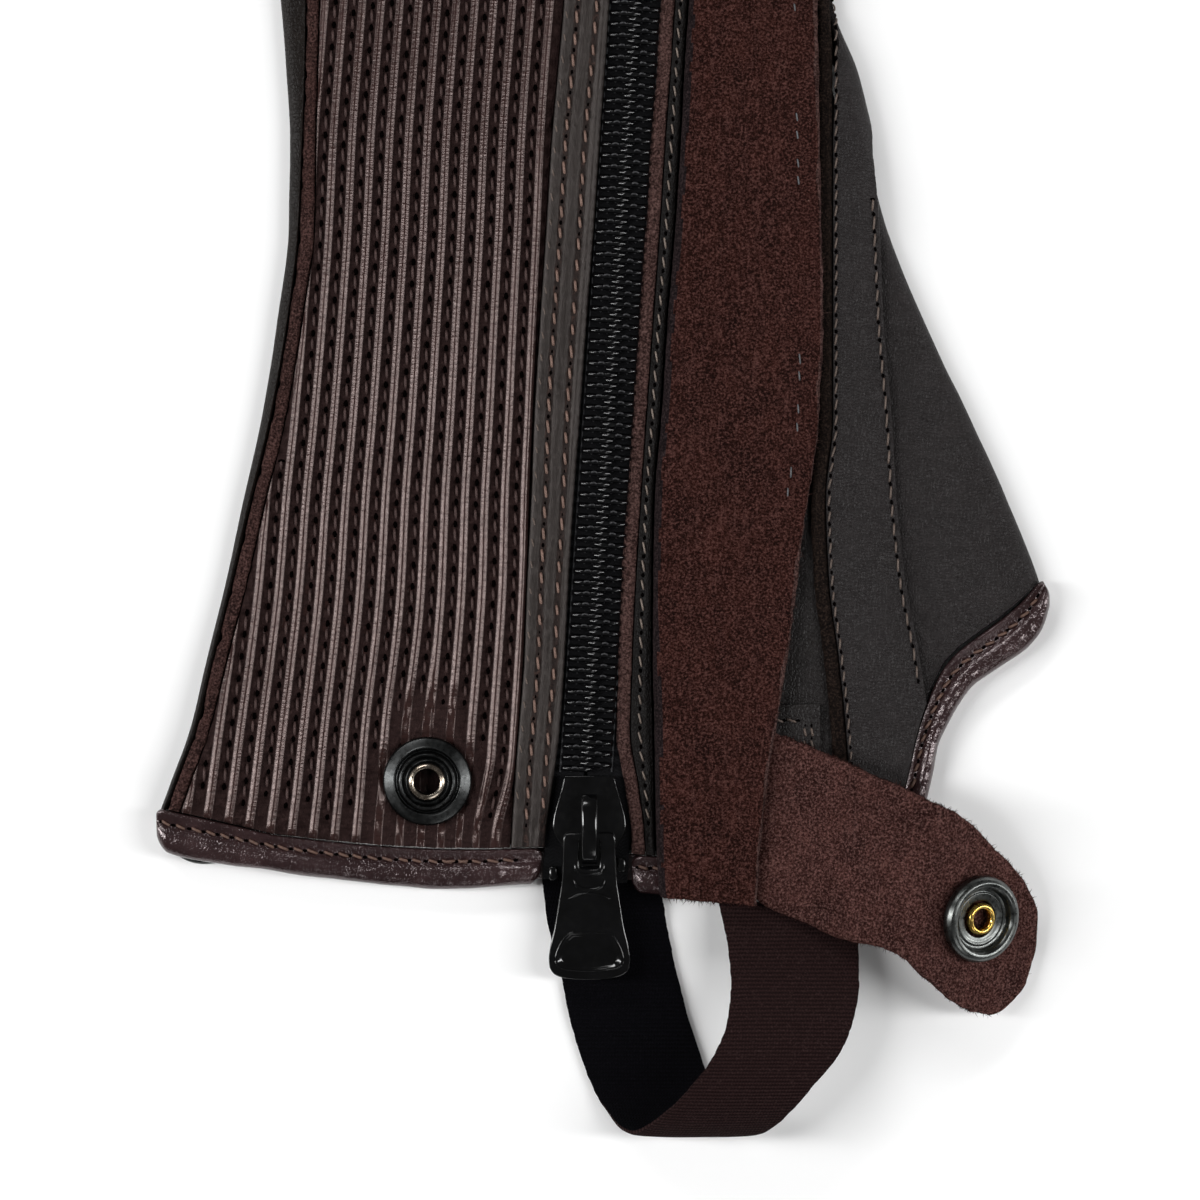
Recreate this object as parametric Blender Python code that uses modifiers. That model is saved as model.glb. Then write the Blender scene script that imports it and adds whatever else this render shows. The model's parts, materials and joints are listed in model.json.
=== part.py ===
"""Half chap (riding gaiter) for the right leg, laid flat with its outer side up.

The leg is closed: the zip is done up with its slider at the hem, the cover flap is
turned back towards the front and the snap tab is open. +X runs from the heel to the
toe, +Y from the hem to the knee and +Z up from the surface that it lies on.
All sizes below are millimetres; the model is made in metres.
"""
import math

import bmesh
import bpy
import numpy as np
from mathutils import Matrix, Vector

MM = 0.001
NAME = "half_chap"

# ---- where the drawing's zero lies in the model: the middle of the part's footprint
ORIGIN_X, ORIGIN_Y = -7.73, 184.73

# ---- cloth thicknesses and layer heights
T_UNDER = 1.4        # leather of the inner (medial) side, which lies on the surface
T_LEATHER = 1.4
T_STRIP = 1.2        # raw suede edge strips
T_TAPE = 0.7         # woven zip tape
T_FLAP = 1.3
T_TAB = 1.8          # two plies
T_STRAP = 1.3        # elastic webbing
Z_UPPER = 3.0        # underside of the outer side's first layer
Z_TAPE = 3.0
Z_ON_TAPE = 4.0      # coil, band, facing and slider stand on the tape
Z_OVERLAY = 4.7      # what is lapped over the leg panel
Z_FLAP_ROOT = 4.7
Z_FLAP = 6.3         # the turned-back limb of the flap
Z_FLAP_ON_TAB = 8.6  # the same, where it lies on the tab
GAP = 0.3

# ---- the leg, upper end
Y_TOP = 420.0        # knee edge above the hem's zero
TOP_BINDING = 8.0

# ---- the zip
ZIP_SLOPE, ZIP_X, ZIP_Y = 0.0649, -2.8, 22.0
TAPE_HALF = 13.0
CHAIN_W, CHAIN_H = 9.2, 2.2
CHAIN_END_Y = 21.7
SLIDER_X, SLIDER_Y = -2.1, 12.0
HINGE_Y, HINGE_Z = 9.0, 8.1
PULL_T, PULL_TILT = 1.4, -5.0

# ---- the ribs of the stretch panel
RIB_RISE = 1.2
STUD_X, STUD_Y, STUD_R = -34.4, 19.9, 8.8

# ---- the snap cap under the heel, and how it props the leather up
CAP_X, CAP_Y, CAP_R, CAP_LIFT, LIFT_REACH = -79.2, 12.0, 8.8, 1.6, 48.0

# ---- stations up the leg, one row each: where every line crosses it, in x
LEG_COLUMNS = (
    "y", "back", "strip_out", "strip_in", "rib", "pitch", "band_l", "band_r", "edge_l", "flap_l", "flap_r", "seam1", "seam2", "front",
)
LEG_ROWS = (
    (424.0, -104.0, -99.2, -96.4, 2.6, 3.74, 9.0, 18.0, 28.4, 33.8, 59.0, 59.4, 70.0, 62.2),
    (380.0, -105.0, -100.2, -97.4, -0.1, 3.74, 6.2, 15.2, 25.6, 31.0, 56.4, 56.6, 67.0, 59.4),
    (340.0, -102.0, -97.2, -94.4, -2.7, 3.74, 3.6, 12.6, 23.0, 28.4, 53.2, 53.4, 64.0, 56.2),
    (300.0, -94.5, -89.7, -86.9, -5.3, 3.74, 1.0, 10.0, 20.4, 25.8, 49.6, 49.8, 61.0, 52.6),
    (260.0, -83.0, -78.2, -75.4, -7.9, 3.74, -1.6, 7.4, 17.8, 23.2, 46.0, 46.2, 57.0, 49.0),
    (230.0, -74.0, -69.2, -66.4, -9.8, 3.74, -3.5, 5.5, 15.9, 21.3, 44.0, 44.2, 54.0, 47.0),
    (200.0, -67.0, -62.2, -59.4, -11.8, 3.74, -5.5, 3.5, 14.0, 19.4, 43.2, 43.3, 50.0, 46.1),
    (176.0, -63.8, -58.8, -56.1, -13.6, 3.74, -7.0, 2.0, 12.4, 17.8, 43.0, 43.6, 50.0, 46.4),
    (161.0, -62.6, -59.0, -56.4, -14.8, 3.74, -8.3, 1.0, 11.4, 16.8, 43.2, 43.6, 52.0, 51.6),
    (149.0, -61.9, -59.4, -56.7, -15.6, 3.75, -9.4, 0.1, 10.5, 16.2, 43.5, 43.6, 53.3, 54.6),
    (130.0, -62.2, -60.3, -57.1, -16.4, 3.76, -10.6, -1.2, 9.3, 15.0, 43.9, 43.6, 54.6, 59.6),
    (112.0, -64.4, -62.4, -59.4, -17.3, 3.80, -11.8, -2.6, 8.0, 13.5, 44.1, 43.6, 55.4, 65.0),
    (92.0, -67.6, -66.0, -62.9, -18.2, 3.88, -13.0, -4.0, 6.6, 12.2, 43.6, 43.6, 57.1, 74.0),
    (76.0, -71.2, -70.0, -66.7, -19.0, 3.96, -13.6, -5.2, 5.5, 10.9, 41.4, 42.2, 58.0, 81.2),
    (60.0, -74.6, -73.8, -70.4, -19.4, 4.04, -14.4, -6.2, 4.5, 10.6, 39.1, 42.8, 59.7, 87.6),
    (44.0, -78.5, -77.8, -74.4, -20.3, 4.12, -15.0, -7.0, 3.8, 10.5, 37.1, 44.8, 62.7, 92.0),
    (30.0, -81.8, -81.2, -78.0, -21.2, 4.20, -16.1, -8.0, 3.4, 10.8, 34.8, 46.2, 64.7, 95.0),
    (18.0, -86.2, -85.6, -82.2, -22.0, 4.26, -17.0, -9.6, 5.2, 11.0, 33.0, 47.0, 66.0, 97.0),
    (8.0, -89.4, -88.8, -85.4, -22.8, 4.30, -17.6, -10.9, 6.3, 11.2, 31.9, 47.6, 67.0, 98.0),
    (-6.0, -90.0, -89.4, -86.0, -23.5, 4.30, -18.4, -11.4, 6.5, 11.9, 30.8, 48.2, 68.0, 99.0),
)

# ---- the bound hem, heel part: its inner edge, where the panels end, and its outer edge
HEM_COLUMNS = ("x_in", "y_in", "x_out", "y_out")
HEM_HEEL_ROWS = (
    (-88.4, 14.8, -88.2, 6.6),
    (-86.0, 14.0, -84.6, 5.1),
    (-76.0, 11.8, -73.8, 3.3),
    (-65.2, 9.2, -62.8, 1.6),
    (-54.6, 7.9, -52.0, 0.1),
    (-43.8, 6.9, -43.2, -1.0),
    (-33.0, 6.3, -33.0, -1.6),
    (-22.4, 6.2, -23.0, -1.2),
    (-11.5, 6.6, -12.2, -0.4),
)
# ---- the bound hem, front part: from beside the zip under the tab to the toe
HEM_TOE_ROWS = (
    (6.4, 5.2, 6.4, -2.4),
    (11.4, 4.8, 11.4, -2.8),
    (24.0, 4.2, 24.0, -3.2),
    (36.0, 4.0, 36.0, -3.4),
    (46.0, 4.8, 47.6, -2.2),
    (52.6, 7.4, 56.0, 1.4),
    (57.6, 12.4, 61.8, 8.4),
    (60.4, 17.4, 65.0, 15.6),
    (61.6, 22.4, 66.4, 22.0),
    (62.7, 27.6, 67.2, 27.0),
    (64.0, 32.4, 69.2, 30.8),
    (65.5, 36.4, 71.2, 35.0),
    (68.4, 42.6, 74.2, 38.9),
    (71.4, 45.8, 77.2, 40.8),
    (75.2, 48.6, 80.4, 42.8),
    (79.6, 51.7, 84.6, 45.7),
    (84.2, 55.5, 88.2, 49.8),
    (86.6, 58.2, 89.4, 54.6),
)

# ---- the elastic strap: its two edges and its height along the loop
STRAP_COLUMNS = ("x_a", "x_b", "y", "z")
STRAP_ROWS = (
    (-11.2, 12.4, -2.6, 1.40),
    (-10.6, 13.2, -8.0, 0.75),
    (-8.2, 15.0, -17.0, 0.75),
    (-6.6, 17.0, -25.0, 0.75),
    (-4.6, 19.4, -33.0, 0.75),
    (-1.6, 22.4, -41.0, 1.20),
    (1.0, 25.2, -45.4, 3.20),
    (3.6, 28.0, -48.6, 6.20),
    (6.4, 31.2, -49.9, 9.60),
    (10.4, 35.0, -47.6, 13.20),
    (14.6, 38.8, -43.8, 15.60),
    (18.4, 42.4, -39.6, 16.50),
    (22.6, 47.2, -33.8, 16.00),
    (25.2, 50.0, -27.4, 14.00),
    (26.0, 51.4, -20.0, 10.60),
    (25.4, 51.4, -13.0, 7.20),
    (24.4, 50.8, -7.6, 5.00),
    (23.6, 50.2, -4.3, 4.15),
)

# ---- the snap tab, suede side up: its two edges and the height of its lower face
TAB_COLUMNS = ("x_up", "y_up", "x_lo", "y_lo", "z")
TAB_ROWS = (
    (22.0, 31.8, 22.0, -1.2, 6.30),
    (29.0, 31.0, 29.0, -2.6, 6.30),
    (35.2, 29.4, 34.6, -5.6, 6.50),
    (40.6, 27.4, 40.8, -7.8, 7.80),
    (49.4, 23.6, 48.6, -11.2, 12.00),
    (58.0, 19.8, 55.8, -12.4, 16.20),
    (65.4, 16.2, 59.8, -14.8, 17.80),
    (69.8, 13.8, 62.8, -17.8, 16.10),
    (73.6, 10.8, 66.2, -20.8, 13.30),
    (78.0, 6.6, 69.8, -23.8, 10.18),
    (81.8, 2.6, 73.2, -25.6, 7.43),
    (84.6, -1.0, 76.8, -26.4, 5.05),
    (86.3, -5.6, 79.4, -25.4, 3.40),
    (86.2, -10.2, 82.0, -23.0, 2.30),
    (85.8, -14.4, 84.0, -19.2, 1.60),
)
SNAP_X, SNAP_Y, SNAP_TILT, SNAP_TURN = 73.7, -6.7, 33.0, -15.0
SNAP_R, EYELET_R = 8.7, 3.2


# =====================================================================  helpers
def column(columns, rows, name):
    return np.array([row[columns.index(name)] for row in rows], float)


def smooth(xs, ys, x):
    """A monotone cubic through the points (xs, ys), read at x."""
    xs, ys = np.asarray(xs, float), np.asarray(ys, float)
    h = np.diff(xs)
    d = np.diff(ys) / h
    m = np.zeros(len(xs))
    m[0], m[-1] = d[0], d[-1]
    for i in range(1, len(xs) - 1):
        if d[i - 1] * d[i] > 0:
            w1, w2 = 2 * h[i] + h[i - 1], h[i] + 2 * h[i - 1]
            m[i] = (w1 + w2) / (w1 / d[i - 1] + w2 / d[i])
    i = np.clip(np.searchsorted(xs, x, side="right") - 1, 0, len(xs) - 2)
    t = np.clip((x - xs[i]) / h[i], 0.0, 1.0)
    return float(
        (2 * t**3 - 3 * t**2 + 1) * ys[i]
        + (t**3 - 2 * t**2 + t) * h[i] * m[i]
        + (-2 * t**3 + 3 * t**2) * ys[i + 1]
        + (t**3 - t**2) * h[i] * m[i + 1]
    )


_stations = column(LEG_COLUMNS, LEG_ROWS, "y")[::-1]
_lines = {n: column(LEG_COLUMNS, LEG_ROWS, n)[::-1] for n in LEG_COLUMNS}


def leg(name, y):
    """Where a line of the leg crosses the height y."""
    return smooth(_stations, _lines[name], y)


def zip_x(y):
    return ZIP_X + ZIP_SLOPE * (y - ZIP_Y)


def ramp(x, a, b):
    """0 at a and before, 1 at b and past it, with soft ends."""
    t = min(max((x - a) / (b - a), 0.0), 1.0)
    return t * t * (3 - 2 * t)


def lift(x, y):
    """How far the snap cap under the heel props the leather up."""
    return CAP_LIFT * (1 - ramp(math.hypot(x - CAP_X, y - CAP_Y), CAP_R + 3.0, LIFT_REACH))


def hem_in(x):
    """The height at which the hem's binding begins, at x."""
    rows = HEM_HEEL_ROWS + HEM_TOE_ROWS
    return float(np.interp(x, [r[0] for r in rows], [r[1] for r in rows]))


def fold(s, edge, side, z_in, t):
    """A point on the inner face of cloth that turns under at a fold.

    s is measured along the cloth from where the fold begins, edge is the fold's
    outermost x, side is +1 at the front and -1 at the back.
    """
    r = (z_in - T_UNDER) / 2
    c = edge - side * (r + t)
    if s <= 0:
        return c + side * s, z_in
    if s < math.pi * r:
        return c + side * r * math.sin(s / r), T_UNDER + r + r * math.cos(s / r)
    return c - side * (s - math.pi * r), T_UNDER


def along(x, edge, side, z_in, t):
    """The distance s at which fold() reaches x on the upper side."""
    r = (z_in - T_UNDER) / 2
    d = side * (x - edge) + r + t
    return d if d <= 0 else r * math.asin(min(d / (r + t), 1.0))


def new_collection(name):
    found = bpy.data.collections.new(name)
    bpy.context.scene.collection.children.link(found)
    return found


def material(name, rgb, rough, metal=0.0):
    m = bpy.data.materials.new(name)
    m.use_nodes = True
    shader = m.node_tree.nodes["Principled BSDF"]
    shader.inputs["Base Color"].default_value = (*rgb, 1.0)
    shader.inputs["Roughness"].default_value = rough
    shader.inputs["Metallic"].default_value = metal
    m.diffuse_color = (*rgb, 1.0)
    return m


def place(x, y, z):
    return Vector(((x - ORIGIN_X) * MM, (y - ORIGIN_Y) * MM, z * MM))


def add(name, bm, mat, smooth_shade=True):
    mesh = bpy.data.meshes.new(name)
    bm.to_mesh(mesh)
    bm.free()
    obj = bpy.data.objects.new(name, mesh)
    mesh.materials.append(mat)
    parts.objects.link(obj)
    if smooth_shade:
        mesh.shade_smooth()
        mesh.set_sharp_from_angle(angle=math.radians(40))
    return obj


def sheet(name, grid, mat, thickness, lifted=True):
    """An open surface through the rows of grid, thickened on its outer side."""
    bm = bmesh.new()
    rows = [
        [bm.verts.new(place(x, y, z + (lift(x, y) if lifted else 0.0))) for x, y, z in row]
        for row in grid
    ]
    for a, b in zip(rows, rows[1:]):
        for i in range(len(a) - 1):
            bm.faces.new((a[i], b[i], b[i + 1], a[i + 1]))
    bmesh.ops.remove_doubles(bm, verts=bm.verts, dist=2e-5)
    obj = add(name, bm, mat)
    solid = obj.modifiers.new("thickness", "SOLIDIFY")
    solid.thickness = thickness * MM
    solid.offset = 1.0
    solid.use_even_offset = True
    return obj


def slab(name, grid, mat, z_low):
    """A closed piece between the surface through grid and a flat underside at z_low."""
    bm = bmesh.new()
    rows = [[bm.verts.new(place(x, y, z + lift(x, y))) for x, y, z in row] for row in grid]
    for a, b in zip(rows, rows[1:]):
        for i in range(len(a) - 1):
            bm.faces.new((a[i], b[i], b[i + 1], a[i + 1]))
    bmesh.ops.remove_doubles(bm, verts=bm.verts, dist=2e-5)
    copied = bmesh.ops.extrude_face_region(bm, geom=list(bm.faces), use_keep_orig=True)
    for v in copied["geom"]:
        if isinstance(v, bmesh.types.BMVert):
            x, y = v.co.x / MM + ORIGIN_X, v.co.y / MM + ORIGIN_Y
            v.co.z = (z_low + lift(x, y)) * MM
    bmesh.ops.recalc_face_normals(bm, faces=bm.faces)
    return add(name, bm, mat)


def columns_of(left, right, count, top, bottom, rows, point, spread=None):
    """A grid whose columns run down the leg.

    left and right give the coordinate across at a height, point turns that
    coordinate and height into a place, bottom is the height at which a column that
    has reached x ends.
    """
    spread = spread or [i / (count - 1) for i in range(count)]
    found = []
    for u in spread:
        def at(y, u=u):
            s = left(y) + u * (right(y) - left(y))
            return point(s, y)
        found.append([settle(at, top, bottom, f) for f in rows])
    return [[found[i][j] for i in range(len(found))] for j in range(len(rows))]


def settle(at, top, bottom, share, step=0.5):
    """The point of the line at() that lies this share of the way from top to bottom."""
    y = top + (20.0 - top) * share
    for _ in range(40):
        y += step * (top + (bottom(at(y)[0]) - top) * share - y)
    return at(y)


def rows_down(heights, low):
    """Shares of the way down from the first height, one for each of heights, then the end."""
    top = heights[0]
    return [(top - h) / (top - low) for h in heights] + [1.0]


def flat_point(z):
    return lambda x, y: (x, y, z)


def loft(name, rings, mat):
    """A closed solid through rings of equal point count, with flat ends."""
    bm = bmesh.new()
    loops = [[bm.verts.new(place(*p)) for p in ring] for ring in rings]
    n = len(loops[0])
    for a, b in zip(loops, loops[1:]):
        for i in range(n):
            bm.faces.new((a[i], b[i], b[(i + 1) % n], a[(i + 1) % n]))
    bm.faces.new(loops[0])
    bm.faces.new(loops[-1][::-1])
    bmesh.ops.recalc_face_normals(bm, faces=bm.faces)
    return add(name, bm, mat)


def binding_ring(x_in, y_in, x_out, y_out, z_low, z_high):
    """The rounded section of a bound edge between its inner and its outer line."""
    mid, up = (z_low + z_high) / 2, z_high - z_low
    section = (
        (0.0, z_low), (0.0, z_high - 0.3 * up), (0.1, z_high), (0.62, z_high), (0.9, z_high - 0.22 * up),
        (1.0, mid), (0.9, z_low + 0.22 * up), (0.62, z_low),
    )
    return [
        (
            x_in + w * (x_out - x_in),
            y_in + w * (y_out - y_in),
            z + lift(x_in + w * (x_out - x_in), y_in + w * (y_out - y_in)),
        )
        for w, z in section
    ]


def turned(name, profile, mat, steps=28):
    """A solid of revolution about Z from (radius, height) pairs, top to bottom at +X."""
    bm = bmesh.new()
    verts = [bm.verts.new((r * MM, 0.0, z * MM)) for r, z in profile]
    for a, b in zip(verts, verts[1:]):
        bm.edges.new((a, b))
    if profile[0] != profile[-1] and profile[0][0] > 0:
        bm.edges.new((verts[-1], verts[0]))
    obj = add(name, bm, mat, smooth_shade=False)
    screw = obj.modifiers.new("turn", "SCREW")
    screw.steps = screw.render_steps = steps
    screw.use_merge_vertices = True
    screw.merge_threshold = 1e-5
    screw.use_smooth_shade = True
    return obj


def outline(name, loops, half, mat, bevel=0.0, resolution=1):
    """A flat outline with holes, as a 2D curve extruded by half its thickness each way."""
    curve = bpy.data.curves.new(name, "CURVE")
    curve.dimensions = "2D"
    curve.fill_mode = "BOTH"
    curve.extrude = (half - bevel) * MM
    curve.bevel_depth = bevel * MM
    curve.bevel_resolution = resolution
    curve.offset = -bevel * MM
    for points in loops:
        spline = curve.splines.new("POLY")
        spline.points.add(len(points) - 1)
        for p, (x, y) in zip(spline.points, points):
            p.co = (x * MM, y * MM, 0.0, 1.0)
        spline.use_cyclic_u = True
    obj = bpy.data.objects.new(name, curve)
    curve.materials.append(mat)
    parts.objects.link(obj)
    return obj


def to_mesh(obj):
    """A curve object as a welded mesh object of the same name and place."""
    bpy.context.view_layer.update()
    name, matrix = obj.name, obj.matrix_world.copy()
    graph = bpy.context.evaluated_depsgraph_get()
    mesh = bpy.data.meshes.new_from_object(obj.evaluated_get(graph))
    mats = list(obj.data.materials)
    bpy.data.objects.remove(obj)
    bm = bmesh.new()
    bm.from_mesh(mesh)
    bmesh.ops.remove_doubles(bm, verts=bm.verts, dist=1e-6)
    bmesh.ops.recalc_face_normals(bm, faces=bm.faces)
    bm.to_mesh(mesh)
    bm.free()
    made = bpy.data.objects.new(name, mesh)
    mesh.name = name
    if not mesh.materials:
        for m in mats:
            mesh.materials.append(m)
    made.matrix_world = matrix
    parts.objects.link(made)
    return made


def boolean(obj, other, kind):
    mod = obj.modifiers.new(kind.lower(), "BOOLEAN")
    mod.operation = kind
    mod.object = other
    return mod


def as_cutter(obj):
    for c in list(obj.users_collection):
        c.objects.unlink(obj)
    cutters.objects.link(obj)
    obj.hide_render = True
    obj.display_type = "WIRE"


# =====================================================================  start
for old in list(bpy.data.objects):
    bpy.data.objects.remove(old)
parts = new_collection(NAME)
cutters = new_collection("cutters")

leather = material("leather_smooth", (0.045, 0.033, 0.030), 0.55)
leather_ribs = material("leather_ribs", (0.060, 0.036, 0.032), 0.42)
binding_mat = material("leather_binding", (0.055, 0.028, 0.028), 0.35)
suede = material("suede", (0.085, 0.042, 0.037), 0.95)
suede_edge = material("suede_edge", (0.13, 0.075, 0.065), 0.9)
tape_mat = material("zip_tape", (0.012, 0.012, 0.014), 0.85)
zip_mat = material("zip_black", (0.010, 0.010, 0.012), 0.22)
coil_mat = material("zip_coil", (0.010, 0.010, 0.012), 0.3)
gunmetal = material("gunmetal", (0.10, 0.105, 0.105), 0.3, 1.0)
brass = material("brass", (0.70, 0.48, 0.14), 0.3, 1.0)
elastic = material("elastic", (0.035, 0.022, 0.022), 0.85)

PANEL_TOP = Y_TOP - TOP_BINDING - GAP
HEIGHTS = (PANEL_TOP, 370, 330, 290, 250, 215, 185, 160, 140, 120, 100, 84, 66, 44, 28)
DOWN = rows_down(HEIGHTS, 14.0)
ABOVE_HEM = GAP


def under_edge(x):
    return hem_in(x) + 0.9


def upper_edge(x):
    return hem_in(x) + ABOVE_HEM


# =====================================================================  the inner side, lying on the surface
def back_s(x, y):
    return along(x, leg("back", y), -1, Z_UPPER, T_LEATHER)


def back_point(s, y):
    x, z = fold(s, leg("back", y), -1, Z_UPPER, T_LEATHER)
    return x, y, z


R_IN = (Z_UPPER - T_UNDER) / 2
BACK_TURN = math.pi * R_IN
FRONT_UNDER = 8.0     # how far the front pieces reach under the leg, from the fold


def inner_left(y):
    return back_s(leg("strip_out", y), y)


def inner_right(y):
    edge = leg("back", y) + R_IN + T_LEATHER
    return BACK_TURN + (toe(y) - FRONT_UNDER - edge)


def toe(y):
    """The front fold, which stops at the toe: below it the hem's curve takes over."""
    return min(leg("front", y), 88.6)


# columns are close together round the back fold and wide apart on the flat
flat_shares = (0.1, 0.2, 0.32, 0.44, 0.56, 0.68, 0.78, 0.83, 0.865, 0.885, 0.9, 0.915, 0.93, 0.95, 0.975, 1.0)
columns = []
for kind in ("edge", "q0", "q1", "q2", "q3", "q4", *flat_shares):
    def across(y, kind=kind):
        first = inner_left(y)
        if kind == "edge":
            return first
        if isinstance(kind, str):
            step = int(kind[1]) / 4
            return max(first + 0.05, 0.0) + step * (BACK_TURN - max(first + 0.05, 0.0))
        return BACK_TURN + kind * (inner_right(y) - BACK_TURN)

    def at(y, across=across):
        return back_point(across(y), y)

    low = upper_edge if kind in ("edge", "q0", "q1") else under_edge
    columns.append([settle(at, PANEL_TOP, low, f) for f in DOWN])
grid = [[c[j] for c in columns[::-1]] for j in range(len(DOWN))]
sheet("inner_panel", grid, leather, T_LEATHER)

# =====================================================================  the back seam's raw strip and the ribbed stretch panel
def strip_left(y):
    return back_s(leg("strip_out", y), y) - GAP


def strip_right(y):
    return back_s(leg("strip_in", y), y)


grid = columns_of(strip_left, strip_right, 3, PANEL_TOP, upper_edge, DOWN, back_point)
sheet("back_edge_strip", grid, suede_edge, T_STRIP)

ribs = 28
rib_columns = []
for k in range(-3, 2 * ribs + 1):
    def at(y, k=k):
        left = leg("strip_in", y) + GAP
        right = leg("band_l", y) - GAP
        x = leg("rib", y) - (k / 2.0) * leg("pitch", y)
        crest = k % 2 == 0
        z = Z_UPPER + T_STRIP + (RIB_RISE if crest else 0.0)
        if k == -3 or x > right:
            return right, y, Z_UPPER + T_STRIP
        if x < left + 0.4:
            return left, y, Z_UPPER + T_STRIP
        return x, y, z
    rib_columns.append([settle(at, PANEL_TOP, upper_edge, f) for f in DOWN])
rib_columns = rib_columns[::-1]
stretch = slab("stretch_panel", [[c[j] for c in rib_columns] for j in range(len(DOWN))], leather_ribs, Z_UPPER)

bpy.ops.mesh.primitive_cylinder_add(vertices=28, radius=(STUD_R + GAP) * MM, depth=20 * MM, location=place(STUD_X, STUD_Y, 5.0))
hole = bpy.context.object
hole.name = "stud_hole"
as_cutter(hole)
boolean(stretch, hole, "DIFFERENCE")

# =====================================================================  the zip: band, tapes, coil, edge strip and facing
def near(name, shift=0.0):
    return lambda y: leg(name, y) + shift


def on(z, left, right, count, name, mat, thickness, top=PANEL_TOP, bottom=upper_edge, down=DOWN, lifted=True):
    grid = columns_of(left, right, count, top, bottom, down, flat_point(z))
    return sheet(name, grid, mat, thickness, lifted)


on(Z_ON_TAPE, near("band_l"), near("band_r", -0.15), 3, "zip_band", leather, T_LEATHER)

TAPE_DOWN = rows_down((PANEL_TOP, 300, 200, 100, 40, 18, 12, 6), -0.6)


def tape_back_left(y):
    return zip_x(y) - TAPE_HALF + (TAPE_HALF - 7.2) * ramp(y, 18.0, 10.0)


def tape_front_right(y):
    return zip_x(y) + TAPE_HALF + (9.6 - TAPE_HALF) * ramp(y, 18.0, 10.0)


on(Z_TAPE, tape_back_left, lambda y: zip_x(y) - 0.4, 2, "zip_tape_back", tape_mat, T_TAPE, bottom=lambda x: 0.4, down=TAPE_DOWN)
on(Z_TAPE, lambda y: zip_x(y) + 0.4, tape_front_right, 2, "zip_tape_front", tape_mat, T_TAPE, bottom=lambda x: -0.4, down=TAPE_DOWN)

CHAIN_DOWN = rows_down((PANEL_TOP - 6, 300, 200, 100), CHAIN_END_Y)
rings = []
for f in CHAIN_DOWN:
    y = PANEL_TOP - 6 + (CHAIN_END_Y - PANEL_TOP + 6) * f
    x, w, h = zip_x(y), CHAIN_W / 2, CHAIN_H
    rings.append([
        (x - w, y, Z_ON_TAPE), (x - w, y, Z_ON_TAPE + 0.5 * h), (x - 0.6 * w, y, Z_ON_TAPE + h),
        (x + 0.6 * w, y, Z_ON_TAPE + h), (x + w, y, Z_ON_TAPE + 0.5 * h), (x + w, y, Z_ON_TAPE),
    ])
loft("zip_chain", rings, coil_mat)

on(Z_ON_TAPE, near("edge_l"), near("edge_l", 2.5), 2, "zip_edge_strip", suede_edge, T_STRIP)
on(Z_ON_TAPE, near("edge_l", 2.8), near("flap_l", -0.4), 2, "zip_facing", leather, T_LEATHER)

# top stop: the box that the two halves meet in, at the knee
bpy.ops.mesh.primitive_cube_add(size=1.0, location=place(zip_x(PANEL_TOP - 3), PANEL_TOP - 3.0, Z_ON_TAPE + 1.2))
box = bpy.context.object
box.name = box.data.name = "zip_top_stop"
box.scale = (9.0 * MM, 5.0 * MM, 2.4 * MM)
bpy.ops.object.transform_apply(location=False, rotation=False, scale=True)
box.data.materials.append(zip_mat)
bev = box.modifiers.new("edges", "BEVEL")
bev.width, bev.segments = 0.6 * MM, 2
for c in list(box.users_collection):
    c.objects.unlink(box)
parts.objects.link(box)

# the two bottom stops, one at the end of each row of teeth
for name, x, y in (("zip_stop_back", -9.3, 1.6), ("zip_stop_front", 4.3, 3.2)):
    bpy.ops.mesh.primitive_cube_add(size=1.0, location=place(x, y, Z_ON_TAPE + 0.8))
    stop = bpy.context.object
    stop.name = stop.data.name = name
    stop.scale = (1.7 * MM, 2.8 * MM, 1.5 * MM)
    bpy.ops.object.transform_apply(location=False, rotation=False, scale=True)
    stop.data.materials.append(gunmetal)
    bev = stop.modifiers.new("edges", "BEVEL")
    bev.width, bev.segments = 0.4 * MM, 2
    for c in list(stop.users_collection):
        c.objects.unlink(stop)
    parts.objects.link(stop)

# ---- the slider: a body that narrows from its shoulders, with a bridge over the pull's bar
SLIDER_TOP, SLIDER_Z = 6.7, 4.0
half = [(5.0, 9.0), (5.6, 6.4), (7.0, 1.6), (7.35, -1.0), (6.2, -3.6), (4.6, -6.4), (4.4, -8.4), (3.8, -9.0)]
body_loop = [(x, y) for x, y in half] + [(-x, y) for x, y in half[::-1]]
slider = outline("zip_slider", [body_loop], (SLIDER_TOP - SLIDER_Z) / 2, zip_mat, bevel=0.45, resolution=2)
slider.location = place(SLIDER_X, SLIDER_Y, (SLIDER_TOP + SLIDER_Z) / 2)
slider = to_mesh(slider)
# the bridge's side view, in (along Y, up Z) from the hinge
arch_outer = [(8.4, -2.0), (8.2, 0.6), (7.2, 1.9), (5.0, 2.4), (-1.0, 2.4), (-3.6, 1.9), (-5.2, 0.4), (-5.7, -2.0)]
arch_hole = [(4.4, -1.25), (4.4, 0.7), (3.6, 1.25), (-0.8, 1.25), (-2.2, 0.8), (-2.9, -0.3), (-2.9, -1.25)]
arch = outline("bridge", [arch_outer, arch_hole], 1.5, zip_mat, bevel=0.3, resolution=1)
arch.matrix_world = Matrix.Translation(place(SLIDER_X, HINGE_Y, HINGE_Z)) @ Matrix(
    ((0, 0, 1, 0), (1, 0, 0, 0), (0, 1, 0, 0), (0, 0, 0, 1))
)
arch = to_mesh(arch)
as_cutter(arch)
boolean(slider, arch, "UNION")

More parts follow.
